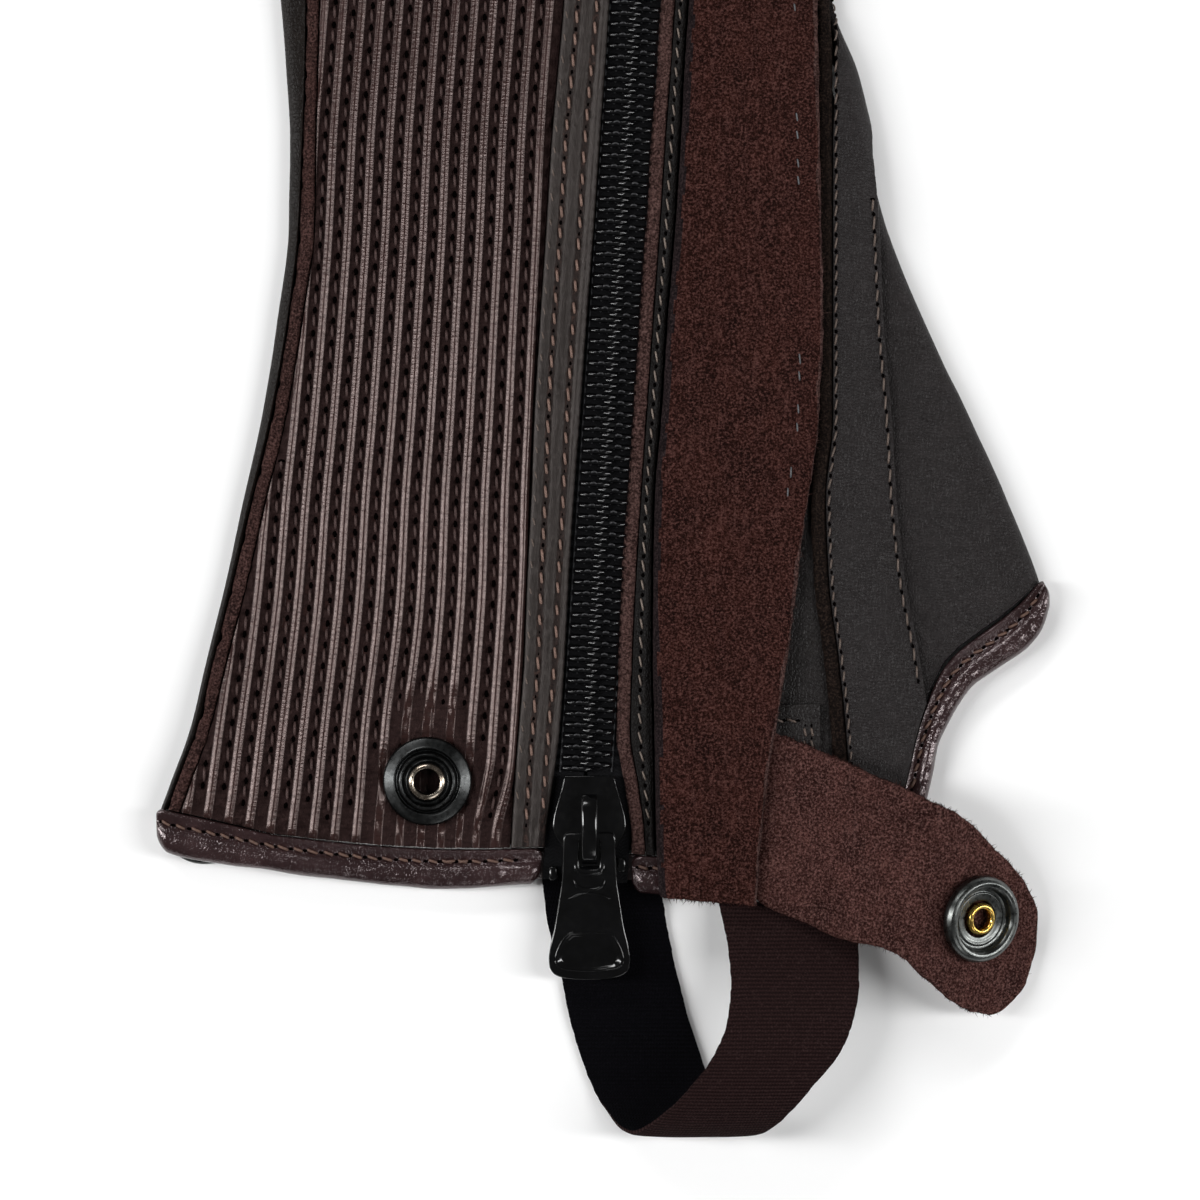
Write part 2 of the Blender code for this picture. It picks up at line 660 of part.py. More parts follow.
# ---- the pull: a plate that widens to its end, with a window round the bridge
pull_half = [(4.2, 0.72), (5.2, 0.2), (5.3, -1.6), (5.5, -8.0), (6.6, -16.0), (8.0, -22.6), (8.1, -25.6), (7.0, -27.6), (4.4, -28.5), (1.6, -28.7)]
pull_loop = [(x, y) for x, y in pull_half] + [(-x, y) for x, y in pull_half[::-1]]
window = [(-2.1, -0.72), (-2.1, -6.0), (-1.6, -6.5), (1.6, -6.5), (2.1, -6.0), (2.1, -0.72)]
pull = outline("zip_pull", [pull_loop, window], PULL_T / 2, zip_mat, bevel=0.3, resolution=1)
pull.matrix_world = Matrix.Translation(place(SLIDER_X, HINGE_Y, HINGE_Z)) @ Matrix.Rotation(math.radians(-PULL_TILT), 4, "X")
pull = to_mesh(pull)

# =====================================================================  the front: leg panel, seam strip, front panel and gusset
def leg_right(y):
    return min(leg("seam1", y) + 8.0, leg("front", y) - 6.2, leg("seam2", y) - 4.2)


on(Z_UPPER, lambda y: max(zip_x(y) + TAPE_HALF + GAP, leg("flap_l", y)), leg_right, 4, "leg_panel", leather, T_LEATHER)

R_OVER = (Z_OVERLAY - T_UNDER) / 2
OVER_TURN = math.pi * R_OVER


def over_s(x, y):
    return along(x, leg("front", y), 1, Z_OVERLAY, T_LEATHER)


def over_point(s, y):
    x, z = fold(s, leg("front", y), 1, Z_OVERLAY, T_LEATHER)
    return x, y, z


def over_left(y):
    return over_s(leg("seam1", y), y)


def over_mid(y):
    return over_s(leg("seam1", y) + 2.6, y)


UNDER_REACH = FRONT_UNDER - (R_OVER + T_LEATHER) - GAP


def over_right(y):
    seam = over_s(leg("seam2", y) + 1.0, y)
    wrap = OVER_TURN + UNDER_REACH
    return seam + (wrap - seam) * ramp(y, 153.0, 172.0)


grid = columns_of(over_left, over_mid, 3, PANEL_TOP, upper_edge, DOWN, over_point)
sheet("front_edge_strip", grid, suede_edge, T_STRIP, lifted=False)
# columns across the flat, then round the fold; above the instep seam all are used,
# below it those past the seam fall on it. The gap to the strip opens a little where
# the seam runs off the fold.
columns = []
for u in (0.0, 0.25, 0.5, 0.72, 0.87, 1.0, "q1", "q2", "q3", "q4", "end"):
    def at(y, u=u):
        first, last = over_mid(y) + GAP + 0.6 * ramp(y, 148.0, 160.0) * ramp(y, 200.0, 184.0), over_right(y)
        if u == "end":
            s = last
        elif isinstance(u, str):
            s = max(int(u[1]) / 4 * OVER_TURN, first + int(u[1]) / 100)
        else:
            s = first + u * max(min(last, 0.0) - first, 0.0)
        return over_point(min(s, last), y)
    columns.append([settle(at, PANEL_TOP, upper_edge, f) for f in DOWN])
sheet("front_panel", [[c[j] for c in columns] for j in range(len(DOWN))], leather, T_LEATHER - 0.03, lifted=False)

GUSSET_TOP = 144.0


def gusset_edge(y):
    return leg("front", y) - 2.4 * ramp(y, 104.0, 134.0)


def gusset_point(s, y):
    x, z = fold(s, gusset_edge(y), 1, Z_UPPER, T_LEATHER)
    return x, y, z


def gusset_s(x, y):
    return along(x, gusset_edge(y), 1, Z_UPPER, T_LEATHER)


def gusset_left(y):
    return min(gusset_s(leg("seam2", y) - 3.5, y), gusset_s(gusset_edge(y) - 3.0, y))


def gusset_under(y):
    return BACK_TURN + FRONT_UNDER - (R_IN + T_LEATHER) - GAP - (leg("front", y) - gusset_edge(y))


def gusset_low(x):
    return upper_edge(x) + 0.6


columns = []
for u in (0.0, 0.1, 0.22, 0.35, 0.5, 0.65, 0.8, 1.0, "q1", "q2", "q3", "q4", "end"):
    def at(y, u=u):
        if u == "end":
            s = gusset_under(y)
        elif isinstance(u, str):
            s = int(u[1]) / 4 * BACK_TURN
        else:
            s = gusset_left(y) * (1 - u)
        return gusset_point(s, y)
    low = under_edge if u in ("q3", "q4", "end") else gusset_low
    shares = (0.0, 0.08, 0.18, 0.3, 0.42, 0.54, 0.66, 0.78, 0.9, 1.0)
    columns.append([settle(at, GUSSET_TOP, low, f, 0.25) for f in shares])
sheet("instep_gusset", [[c[j] for c in columns] for j in range(10)], leather, T_LEATHER - 0.03, lifted=False)

# =====================================================================  the cover flap, turned back with its suede up
FLAP_END = 8.0     # below the hem's zero at its lowest corner, less the slope below


def flap_low(x):
    return -3.0 - 0.09 * (x - 12.0)


def flap_root(y):
    """The root climbs over the hem's binding at its lower end."""
    return Z_FLAP_ROOT + 0.9 * ramp(y, 16.0, 8.0)


def flap_limb(y):
    return Z_FLAP + (Z_FLAP_ON_TAB - Z_FLAP) * ramp(y, 58.0, 38.0)


flap_columns = []
FLAP_HEIGHTS = HEIGHTS[:-2] + (58, 51, 44, 37, 28, 16)
FLAP_DOWN = rows_down(FLAP_HEIGHTS, -3.6)
for kind in ("root", "root2", "a0", "a1", "a2", "a3", "a4", "limb1", "limb2", "limb3"):
    def at(y, kind=kind):
        low, high = flap_root(y) + T_FLAP, flap_limb(y)
        r = (high - low) / 2
        left, right = leg("flap_l", y), leg("flap_r", y)
        c = left + r + T_FLAP
        if kind == "root":
            return c + 4.6, y, low
        if kind == "root2":
            return c + 1.5, y, low
        if kind[0] == "a":
            t = math.pi * int(kind[1]) / 4
            return c - r * math.sin(t), y, low + r - r * math.cos(t)
        f = int(kind[-1]) / 3
        return c + f * (right - c), y, high
    flap_columns.append([settle(at, PANEL_TOP, flap_low, f) for f in FLAP_DOWN])
flap_grid = [[c[j] for c in flap_columns] for j in range(len(FLAP_DOWN))]
sheet("zip_flap", flap_grid, suede, T_FLAP, lifted=False)

# =====================================================================  the tab's root patch, the tab and its snap
def patch(x0, x1, y0, y1, z, name, mat, thickness):
    grid = [[(x0 + (x1 - x0) * i / 2, y, z) for i in range(3)] for y in (y1, (y0 + y1) / 2, y0)]
    return sheet(name, grid, mat, thickness, lifted=False)


patch(20.0, 43.8, 8.0, 35.2, Z_OVERLAY, "tab_root", leather, T_STRIP)

tab = {n: column(TAB_COLUMNS, TAB_ROWS, n) for n in TAB_COLUMNS}
grid = []
for i in range(len(TAB_ROWS)):
    row = []
    for f in (0.0, 0.33, 0.67, 1.0):
        row.append((
            tab["x_up"][i] + f * (tab["x_lo"][i] - tab["x_up"][i]),
            tab["y_up"][i] + f * (tab["y_lo"][i] - tab["y_up"][i]),
            tab["z"][i],
        ))
    grid.append(row)
grid = [[grid[i][j] for i in range(len(grid))] for j in range(4)]
sheet("snap_tab", grid, suede, T_TAB, lifted=False)


def tab_height(x, y):
    """The tab's lower face at (x, y), read off its middle rows."""
    mids = [((r[0] + r[2]) / 2 + (y - (r[1] + r[3]) / 2) * (r[0] - r[2]) / (r[1] - r[3]), r[4]) for r in TAB_ROWS[3:-2]]
    return float(np.interp(x, [m[0] for m in mids], [m[1] for m in mids]))


snap_frame = (
    Matrix.Rotation(math.radians(SNAP_TURN), 4, "Z")
    @ Matrix.Rotation(math.radians(SNAP_TILT), 4, "Y")
)
snap_normal = snap_frame @ Vector((0, 0, 1))
foot = place(SNAP_X, SNAP_Y, tab_height(SNAP_X, SNAP_Y))


def on_tab(obj, height):
    obj.matrix_world = Matrix.Translation(foot + snap_normal * (height * MM)) @ snap_frame


socket = turned("snap_socket", [
    (6.9, 2.6), (8.0, 2.4), (8.6, 1.6), (8.7, 0.6), (8.4, 0.0), (3.7, 0.0), (3.7, 0.7), (6.6, 0.8), (6.4, 1.6), (6.9, 2.6),
], gunmetal)
on_tab(socket, T_TAB + 0.45)
eyelet = turned("snap_eyelet", [
    (2.4, 1.5), (3.1, 1.2), (3.2, 0.0), (2.1, 0.0), (2.1, 1.2), (2.4, 1.5),
], brass, steps=20)
on_tab(eyelet, T_TAB + 0.45)
cap = turned("tab_snap_cap", [(0.0, 0.0), (8.4, 0.0), (8.6, -0.5), (7.0, -1.3), (4.0, -1.7), (0.0, -1.8)], gunmetal)
on_tab(cap, -0.45)

# =====================================================================  the stud on the stretch panel and the cap under the heel
stud = turned("stud", [
    (2.5, 4.6), (3.1, 4.8), (3.6, 4.5), (3.8, 3.6), (4.4, 2.9), (5.2, 2.7), (5.8, 2.9), (6.4, 2.3), (8.2, 1.8),
    (8.8, 1.2), (8.8, 0.6), (4.6, 0.2), (4.6, -1.0), (2.5, -1.0), (2.5, 4.6),
], gunmetal)
stud.location = place(STUD_X, STUD_Y, Z_UPPER + 1.2)
heel_cap = turned("heel_snap_cap", [(0.0, 1.2), (6.5, 1.2), (8.6, 0.8), (8.8, 0.3), (8.6, 0.0), (0.0, 0.0)], gunmetal)
heel_cap.location = place(CAP_X, CAP_Y, 0.0)

# =====================================================================  bound hems and bound top
def pull_in(row, share):
    x_in, y_in, x_out, y_out = row
    return x_in, y_in, x_out + share * (x_in - x_out), y_out + share * (y_in - y_out)


UP_LOW, UP_HIGH = Z_UPPER - 0.5, Z_UPPER + 2.2
loft("hem_binding_heel", [binding_ring(*row, UP_LOW, UP_HIGH) for row in HEM_HEEL_ROWS], binding_mat)
loft("hem_binding_toe", [binding_ring(*row, UP_LOW, UP_HIGH) for row in HEM_TOE_ROWS], binding_mat)
inner_rows = [pull_in(row, 0.12) for row in HEM_HEEL_ROWS + HEM_TOE_ROWS]
loft("hem_binding_inner", [binding_ring(*row, 0.0, 2.15) for row in inner_rows], binding_mat)


def top_ring(x, z_low, z_high):
    return binding_ring(x, Y_TOP - TOP_BINDING, x, Y_TOP, z_low, z_high)


y = PANEL_TOP
loft("top_binding_back", [top_ring(x, UP_LOW, UP_HIGH) for x in (leg("back", y) + 0.4, -40.0, leg("band_l", y) - 1.0)], binding_mat)
loft("top_binding_front", [top_ring(x, UP_LOW, UP_HIGH) for x in (leg("edge_l", y), 45.0, leg("front", y) - 0.4)], binding_mat)
loft("top_binding_inner", [top_ring(x, 0.0, 2.15) for x in (leg("back", y) + 0.4, -20.0, leg("front", y) - 0.4)], binding_mat)

# =====================================================================  the elastic strap that passes under the foot
strap = {n: column(STRAP_COLUMNS, STRAP_ROWS, n) for n in STRAP_COLUMNS}
count = len(STRAP_ROWS)
rings = []
for i in range(count):
    a, b = max(i - 1, 0), min(i + 1, count - 1)
    run = math.hypot(strap["y"][b] - strap["y"][a], strap["z"][b] - strap["z"][a])
    ny, nz = -(strap["z"][b] - strap["z"][a]) / run, (strap["y"][b] - strap["y"][a]) / run
    h = T_STRAP / 2
    rings.append([
        (strap["x_a"][i], strap["y"][i] + h * ny, strap["z"][i] + h * nz),
        (strap["x_b"][i], strap["y"][i] + h * ny, strap["z"][i] + h * nz),
        (strap["x_b"][i], strap["y"][i] - h * ny, strap["z"][i] - h * nz),
        (strap["x_a"][i], strap["y"][i] - h * ny, strap["z"][i] - h * nz),
    ])
loft("foot_strap", rings, elastic)
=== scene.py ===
"""Looks of the half chap: a right-leg riding gaiter of brown leather, laid flat.

Sizes are millimetres in the drawing, as in the tables below, and place() turns them into
metres in the part's frame. +X runs from the heel to the toe, +Y from the hem to the knee
and +Z up from the surface that it lies on.
"""

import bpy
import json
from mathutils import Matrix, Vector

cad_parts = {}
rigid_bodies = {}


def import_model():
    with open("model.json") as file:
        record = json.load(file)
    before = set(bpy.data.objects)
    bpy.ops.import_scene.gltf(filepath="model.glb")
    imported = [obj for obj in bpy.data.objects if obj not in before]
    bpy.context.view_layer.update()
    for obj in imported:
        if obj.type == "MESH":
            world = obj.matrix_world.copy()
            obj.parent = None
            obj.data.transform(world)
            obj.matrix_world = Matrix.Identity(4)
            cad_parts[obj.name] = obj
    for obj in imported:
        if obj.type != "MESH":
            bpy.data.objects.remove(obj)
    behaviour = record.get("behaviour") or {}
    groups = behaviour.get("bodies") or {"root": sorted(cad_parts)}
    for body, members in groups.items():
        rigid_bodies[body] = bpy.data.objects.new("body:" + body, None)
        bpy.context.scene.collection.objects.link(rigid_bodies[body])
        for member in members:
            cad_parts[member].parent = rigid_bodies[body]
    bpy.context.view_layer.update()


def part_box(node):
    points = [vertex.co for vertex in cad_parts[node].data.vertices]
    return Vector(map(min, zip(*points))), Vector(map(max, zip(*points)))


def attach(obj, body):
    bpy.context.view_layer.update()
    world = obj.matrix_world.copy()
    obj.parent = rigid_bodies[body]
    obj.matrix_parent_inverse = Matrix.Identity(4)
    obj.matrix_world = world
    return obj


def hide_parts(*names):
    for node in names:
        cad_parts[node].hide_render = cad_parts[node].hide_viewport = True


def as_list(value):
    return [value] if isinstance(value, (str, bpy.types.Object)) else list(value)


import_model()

import json
import math

import bmesh
import bpy
import numpy as np
from mathutils import Matrix, Vector

MM = 0.001
ORIGIN_X, ORIGIN_Y = -7.73, 184.73

# =====================================================================  the drawing: the same sizes as the solids
T_UNDER = T_LEATHER = 1.4
T_STRIP, T_TAPE, T_FLAP, T_TAB, T_STRAP = 1.2, 0.7, 1.3, 1.8, 1.3
Z_UPPER = Z_TAPE = 3.0
Z_ON_TAPE, Z_OVERLAY, Z_FLAP_ROOT, Z_FLAP, Z_FLAP_ON_TAB = 4.0, 4.7, 4.7, 6.3, 8.6
GAP = 0.3
Y_TOP, TOP_BINDING = 420.0, 8.0
ZIP_SLOPE, ZIP_X, ZIP_Y, TAPE_HALF = 0.0649, -2.8, 22.0, 13.0
CHAIN_END_Y = 21.7
SLIDER_X, SLIDER_Y, HINGE_Y, HINGE_Z, PULL_T, PULL_TILT = -2.1, 12.0, 9.0, 8.1, 1.4, -5.0
STUD_X, STUD_Y, STUD_R = -34.4, 19.9, 8.8
CAP_X, CAP_Y, CAP_R, CAP_LIFT, LIFT_REACH = -79.2, 12.0, 8.8, 1.6, 48.0
SNAP_X, SNAP_Y, SNAP_TILT, SNAP_TURN = 73.7, -6.7, 33.0, -15.0

LEG_COLUMNS = (
    "y", "back", "strip_out", "strip_in", "rib", "pitch", "band_l", "band_r", "edge_l", "flap_l", "flap_r", "seam1", "seam2", "front",
)
LEG_ROWS = (
    (424.0, -104.0, -99.2, -96.4, 2.6, 3.74, 9.0, 18.0, 28.4, 33.8, 59.0, 59.4, 70.0, 62.2),
    (380.0, -105.0, -100.2, -97.4, -0.1, 3.74, 6.2, 15.2, 25.6, 31.0, 56.4, 56.6, 67.0, 59.4),
    (340.0, -102.0, -97.2, -94.4, -2.7, 3.74, 3.6, 12.6, 23.0, 28.4, 53.2, 53.4, 64.0, 56.2),
    (300.0, -94.5, -89.7, -86.9, -5.3, 3.74, 1.0, 10.0, 20.4, 25.8, 49.6, 49.8, 61.0, 52.6),
    (260.0, -83.0, -78.2, -75.4, -7.9, 3.74, -1.6, 7.4, 17.8, 23.2, 46.0, 46.2, 57.0, 49.0),
    (230.0, -74.0, -69.2, -66.4, -9.8, 3.74, -3.5, 5.5, 15.9, 21.3, 44.0, 44.2, 54.0, 47.0),
    (200.0, -67.0, -62.2, -59.4, -11.8, 3.74, -5.5, 3.5, 14.0, 19.4, 43.2, 43.3, 50.0, 46.1),
    (176.0, -63.8, -58.8, -56.1, -13.6, 3.74, -7.0, 2.0, 12.4, 17.8, 43.0, 43.6, 50.0, 46.4),
    (161.0, -62.6, -59.0, -56.4, -14.8, 3.74, -8.3, 1.0, 11.4, 16.8, 43.2, 43.6, 52.0, 51.6),
    (149.0, -61.9, -59.4, -56.7, -15.6, 3.75, -9.4, 0.1, 10.5, 16.2, 43.5, 43.6, 53.3, 54.6),
    (130.0, -62.2, -60.3, -57.1, -16.4, 3.76, -10.6, -1.2, 9.3, 15.0, 43.9, 43.6, 54.6, 59.6),
    (112.0, -64.4, -62.4, -59.4, -17.3, 3.80, -11.8, -2.6, 8.0, 13.5, 44.1, 43.6, 55.4, 65.0),
    (92.0, -67.6, -66.0, -62.9, -18.2, 3.88, -13.0, -4.0, 6.6, 12.2, 43.6, 43.6, 57.1, 74.0),
    (76.0, -71.2, -70.0, -66.7, -19.0, 3.96, -13.6, -5.2, 5.5, 10.9, 41.4, 42.2, 58.0, 81.2),
    (60.0, -74.6, -73.8, -70.4, -19.4, 4.04, -14.4, -6.2, 4.5, 10.6, 39.1, 42.8, 59.7, 87.6),
    (44.0, -78.5, -77.8, -74.4, -20.3, 4.12, -15.0, -7.0, 3.8, 10.5, 37.1, 44.8, 62.7, 92.0),
    (30.0, -81.8, -81.2, -78.0, -21.2, 4.20, -16.1, -8.0, 3.4, 10.8, 34.8, 46.2, 64.7, 95.0),
    (18.0, -86.2, -85.6, -82.2, -22.0, 4.26, -17.0, -9.6, 5.2, 11.0, 33.0, 47.0, 66.0, 97.0),
    (8.0, -89.4, -88.8, -85.4, -22.8, 4.30, -17.6, -10.9, 6.3, 11.2, 31.9, 47.6, 67.0, 98.0),
    (-6.0, -90.0, -89.4, -86.0, -23.5, 4.30, -18.4, -11.4, 6.5, 11.9, 30.8, 48.2, 68.0, 99.0),
)
HEM_COLUMNS = ("x_in", "y_in", "x_out", "y_out")
HEM_HEEL_ROWS = (
    (-88.4, 14.8, -88.2, 6.6), (-86.0, 14.0, -84.6, 5.1), (-76.0, 11.8, -73.8, 3.3), (-65.2, 9.2, -62.8, 1.6),
    (-54.6, 7.9, -52.0, 0.1), (-43.8, 6.9, -43.2, -1.0), (-33.0, 6.3, -33.0, -1.6), (-22.4, 6.2, -23.0, -1.2),
    (-11.5, 6.6, -12.2, -0.4),
)
HEM_TOE_ROWS = (
    (6.4, 5.2, 6.4, -2.4), (11.4, 4.8, 11.4, -2.8), (24.0, 4.2, 24.0, -3.2), (36.0, 4.0, 36.0, -3.4),
    (46.0, 4.8, 47.6, -2.2), (52.6, 7.4, 56.0, 1.4), (57.6, 12.4, 61.8, 8.4), (60.4, 17.4, 65.0, 15.6),
    (61.6, 22.4, 66.4, 22.0), (62.7, 27.6, 67.2, 27.0), (64.0, 32.4, 69.2, 30.8), (65.5, 36.4, 71.2, 35.0),
    (68.4, 42.6, 74.2, 38.9), (71.4, 45.8, 77.2, 40.8), (75.2, 48.6, 80.4, 42.8), (79.6, 51.7, 84.6, 45.7),
    (84.2, 55.5, 88.2, 49.8), (86.6, 58.2, 89.4, 54.6),
)
STRAP_COLUMNS = ("x_a", "x_b", "y", "z")
STRAP_ROWS = (
    (-11.2, 12.4, -2.6, 1.40), (-10.6, 13.2, -8.0, 0.75), (-8.2, 15.0, -17.0, 0.75), (-6.6, 17.0, -25.0, 0.75),
    (-4.6, 19.4, -33.0, 0.75), (-1.6, 22.4, -41.0, 1.20), (1.0, 25.2, -45.4, 3.20), (3.6, 28.0, -48.6, 6.20),
    (6.4, 31.2, -49.9, 9.60), (10.4, 35.0, -47.6, 13.20), (14.6, 38.8, -43.8, 15.60), (18.4, 42.4, -39.6, 16.50),
    (22.6, 47.2, -33.8, 16.00), (25.2, 50.0, -27.4, 14.00), (26.0, 51.4, -20.0, 10.60), (25.4, 51.4, -13.0, 7.20),
    (24.4, 50.8, -7.6, 5.00), (23.6, 50.2, -4.3, 4.15),
)
TAB_COLUMNS = ("x_up", "y_up", "x_lo", "y_lo", "z")
TAB_ROWS = (
    (22.0, 31.8, 22.0, -1.2, 6.30), (29.0, 31.0, 29.0, -2.6, 6.30), (35.2, 29.4, 34.6, -5.6, 6.50),
    (40.6, 27.4, 40.8, -7.8, 7.80), (49.4, 23.6, 48.6, -11.2, 12.00), (58.0, 19.8, 55.8, -12.4, 16.20),
    (65.4, 16.2, 59.8, -14.8, 17.80), (69.8, 13.8, 62.8, -17.8, 16.10), (73.6, 10.8, 66.2, -20.8, 13.30),
    (78.0, 6.6, 69.8, -23.8, 10.18), (81.8, 2.6, 73.2, -25.6, 7.43), (84.6, -1.0, 76.8, -26.4, 5.05),
    (86.3, -5.6, 79.4, -25.4, 3.40), (86.2, -10.2, 82.0, -23.0, 2.30), (85.8, -14.4, 84.0, -19.2, 1.60),
)


def column(columns, rows, name):
    return np.array([row[columns.index(name)] for row in rows], float)


class Line:
    """A monotone cubic through points, read at an array of places."""

    def __init__(self, xs, ys):
        self.xs, self.ys = np.asarray(xs, float), np.asarray(ys, float)
        self.h = np.diff(self.xs)
        d = np.diff(self.ys) / self.h
        m = np.zeros(len(self.xs))
        m[0], m[-1] = d[0], d[-1]
        for i in range(1, len(self.xs) - 1):
            if d[i - 1] * d[i] > 0:
                w1, w2 = 2 * self.h[i] + self.h[i - 1], self.h[i] + 2 * self.h[i - 1]
                m[i] = (w1 + w2) / (w1 / d[i - 1] + w2 / d[i])
        self.m = m

    def __call__(self, x):
        x = np.asarray(x, float)
        i = np.clip(np.searchsorted(self.xs, x, side="right") - 1, 0, len(self.xs) - 2)
        t = np.clip((x - self.xs[i]) / self.h[i], 0.0, 1.0)
        return (
            (2 * t**3 - 3 * t**2 + 1) * self.ys[i]
            + (t**3 - 2 * t**2 + t) * self.h[i] * self.m[i]
            + (-2 * t**3 + 3 * t**2) * self.ys[i + 1]
            + (t**3 - t**2) * self.h[i] * self.m[i + 1]
        )


_y = column(LEG_COLUMNS, LEG_ROWS, "y")[::-1]
LEG = {n: Line(_y, column(LEG_COLUMNS, LEG_ROWS, n)[::-1]) for n in LEG_COLUMNS[1:]}


def leg(name, y):
    return LEG[name](y)


def zip_x(y):
    return ZIP_X + ZIP_SLOPE * (y - ZIP_Y)


def ramp(x, a, b):
    t = np.clip((np.asarray(x, float) - a) / (b - a), 0.0, 1.0)
    return t * t * (3 - 2 * t)


def lift(x, y):
    return CAP_LIFT * (1 - ramp(np.hypot(x - CAP_X, y - CAP_Y), CAP_R + 3.0, LIFT_REACH))


_hem = HEM_HEEL_ROWS + HEM_TOE_ROWS


def hem_in(x):
    return np.interp(x, [r[0] for r in _hem], [r[1] for r in _hem])


def upper_edge(x):
    return hem_in(x) + GAP


def under_edge(x):
    return hem_in(x) + 0.9


PANEL_TOP = Y_TOP - TOP_BINDING - GAP


# =====================================================================  soft noise that is the same each run
def _hash(i, j, seed):
    n = (i * 374761393 + j * 668265263 + seed * 974634777) & 0xFFFFFFFF
    n = ((n ^ (n >> 13)) * 1274126177) & 0xFFFFFFFF
    return ((n ^ (n >> 16)) & 0xFFFF) / 65535.0 * 2 - 1


def noise(x, y, size, seed=1):
    """Smooth noise from -1 to 1 whose lumps are about size across."""
    x, y = np.broadcast_arrays(np.asarray(x, float) / size, np.asarray(y, float) / size)
    i, j = np.floor(x).astype(np.int64), np.floor(y).astype(np.int64)
    u, v = x - i, y - j
    u, v = u * u * (3 - 2 * u), v * v * (3 - 2 * v)
    a, b = _hash(i, j, seed), _hash(i + 1, j, seed)
    c, d = _hash(i, j + 1, seed), _hash(i + 1, j + 1, seed)
    return (a * (1 - u) + b * u) * (1 - v) + (c * (1 - u) + d * u) * v


def rough(x, y, size, seed=1, octaves=3):
    total, gain = 0.0, 1.0
    for k in range(octaves):
        total = total + gain * noise(x, y, size / 2**k, seed + 17 * k)
        gain *= 0.55
    return total / 1.9


CREASE_COLUMNS = ("x0", "y0", "x1", "y1", "width", "height")


def creases(x, y, table, bend=1.2, seed=5):
    """Soft troughs (height below 0) and ridges (above 0), each fading out at its ends."""
    total = np.zeros(np.broadcast(x, y).shape)
    for k, (x0, y0, x1, y1, width, height) in enumerate(table):
        dx, dy = x1 - x0, y1 - y0
        run = math.hypot(dx, dy)
        t = ((x - x0) * dx + (y - y0) * dy) / run**2
        off = ((x - x0) * dy - (y - y0) * dx) / run
        off = off + bend * np.sin(t * math.pi * 1.3 + k) * 0.6 + 0.25 * noise(t * run, 0 * t + k, 5.0, seed + k)
        fade = np.clip(np.minimum(t, 1 - t) / 0.35, 0.0, 1.0)
        fade = fade * fade * (3 - 2 * fade)
        w = width * (0.75 + 0.5 * np.clip(t, 0, 1))
        total = total + height * fade * (np.exp(-((off / w) ** 2)) - 0.45 * np.exp(-(((off - 1.7 * w) / w) ** 2)))
    return total


# =====================================================================  meshes
def place(p):
    p = np.asarray(p, float)
    return np.stack([(p[..., 0] - ORIGIN_X) * MM, (p[..., 1] - ORIGIN_Y) * MM, p[..., 2] * MM], -1)


DONE = []


def finish_piece(obj, body, replaces=()):
    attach(obj, body)
    if replaces:
        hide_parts(*replaces)
    DONE.append(obj)
    return obj


def mesh_object(name, verts, faces, mat, uv=None, weld=0.0, sharp=50.0, mats=None, face_mats=None):
    mesh = bpy.data.meshes.new(name)
    mesh.from_pydata(np.asarray(verts, float).reshape(-1, 3).tolist(), [], faces if isinstance(faces, list) else faces.tolist())
    if uv is not None:
        layer = mesh.uv_layers.new(name="UVMap")
        idx = np.empty(len(mesh.loops), np.int64)
        mesh.loops.foreach_get("vertex_index", idx)
        layer.data.foreach_set("uv", np.asarray(uv, np.float32).reshape(-1, 2)[idx].ravel())
    for m in mats or [mat]:
        mesh.materials.append(m)
    if face_mats is not None:
        mesh.polygons.foreach_set("material_index", np.asarray(face_mats, np.int32))
    if weld:
        bm = bmesh.new()
        bm.from_mesh(mesh)
        bmesh.ops.remove_doubles(bm, verts=bm.verts, dist=weld)
        bm.to_mesh(mesh)
        bm.free()
    mesh.update()
    mesh.shade_smooth()
    if sharp:
        mesh.set_sharp_from_angle(angle=math.radians(sharp))
    obj = bpy.data.objects.new(name, mesh)
    bpy.context.scene.collection.objects.link(obj)
    return obj


def outward(mesh):
    bm = bmesh.new()
    bm.from_mesh(mesh)
    bmesh.ops.recalc_face_normals(bm, faces=bm.faces)
    bm.to_mesh(mesh)
    bm.free()


def quads(r, c, base=0, flip=False):
    i = (np.arange(r - 1)[:, None] * c + np.arange(c - 1)[None, :]).ravel() + base
    q = np.stack([i, i + c, i + c + 1, i + 1], 1)
    return q[:, ::-1] if flip else q


def border(r, c):
    """The grid's outline as vertex numbers, in order."""
    top = np.arange(c)
    right = np.arange(1, r) * c + c - 1
    low = (r - 1) * c + np.arange(c - 2, -1, -1)
    left = np.arange(r - 2, 0, -1) * c
    return np.concatenate([top, right, low, left])


FLAT = {}


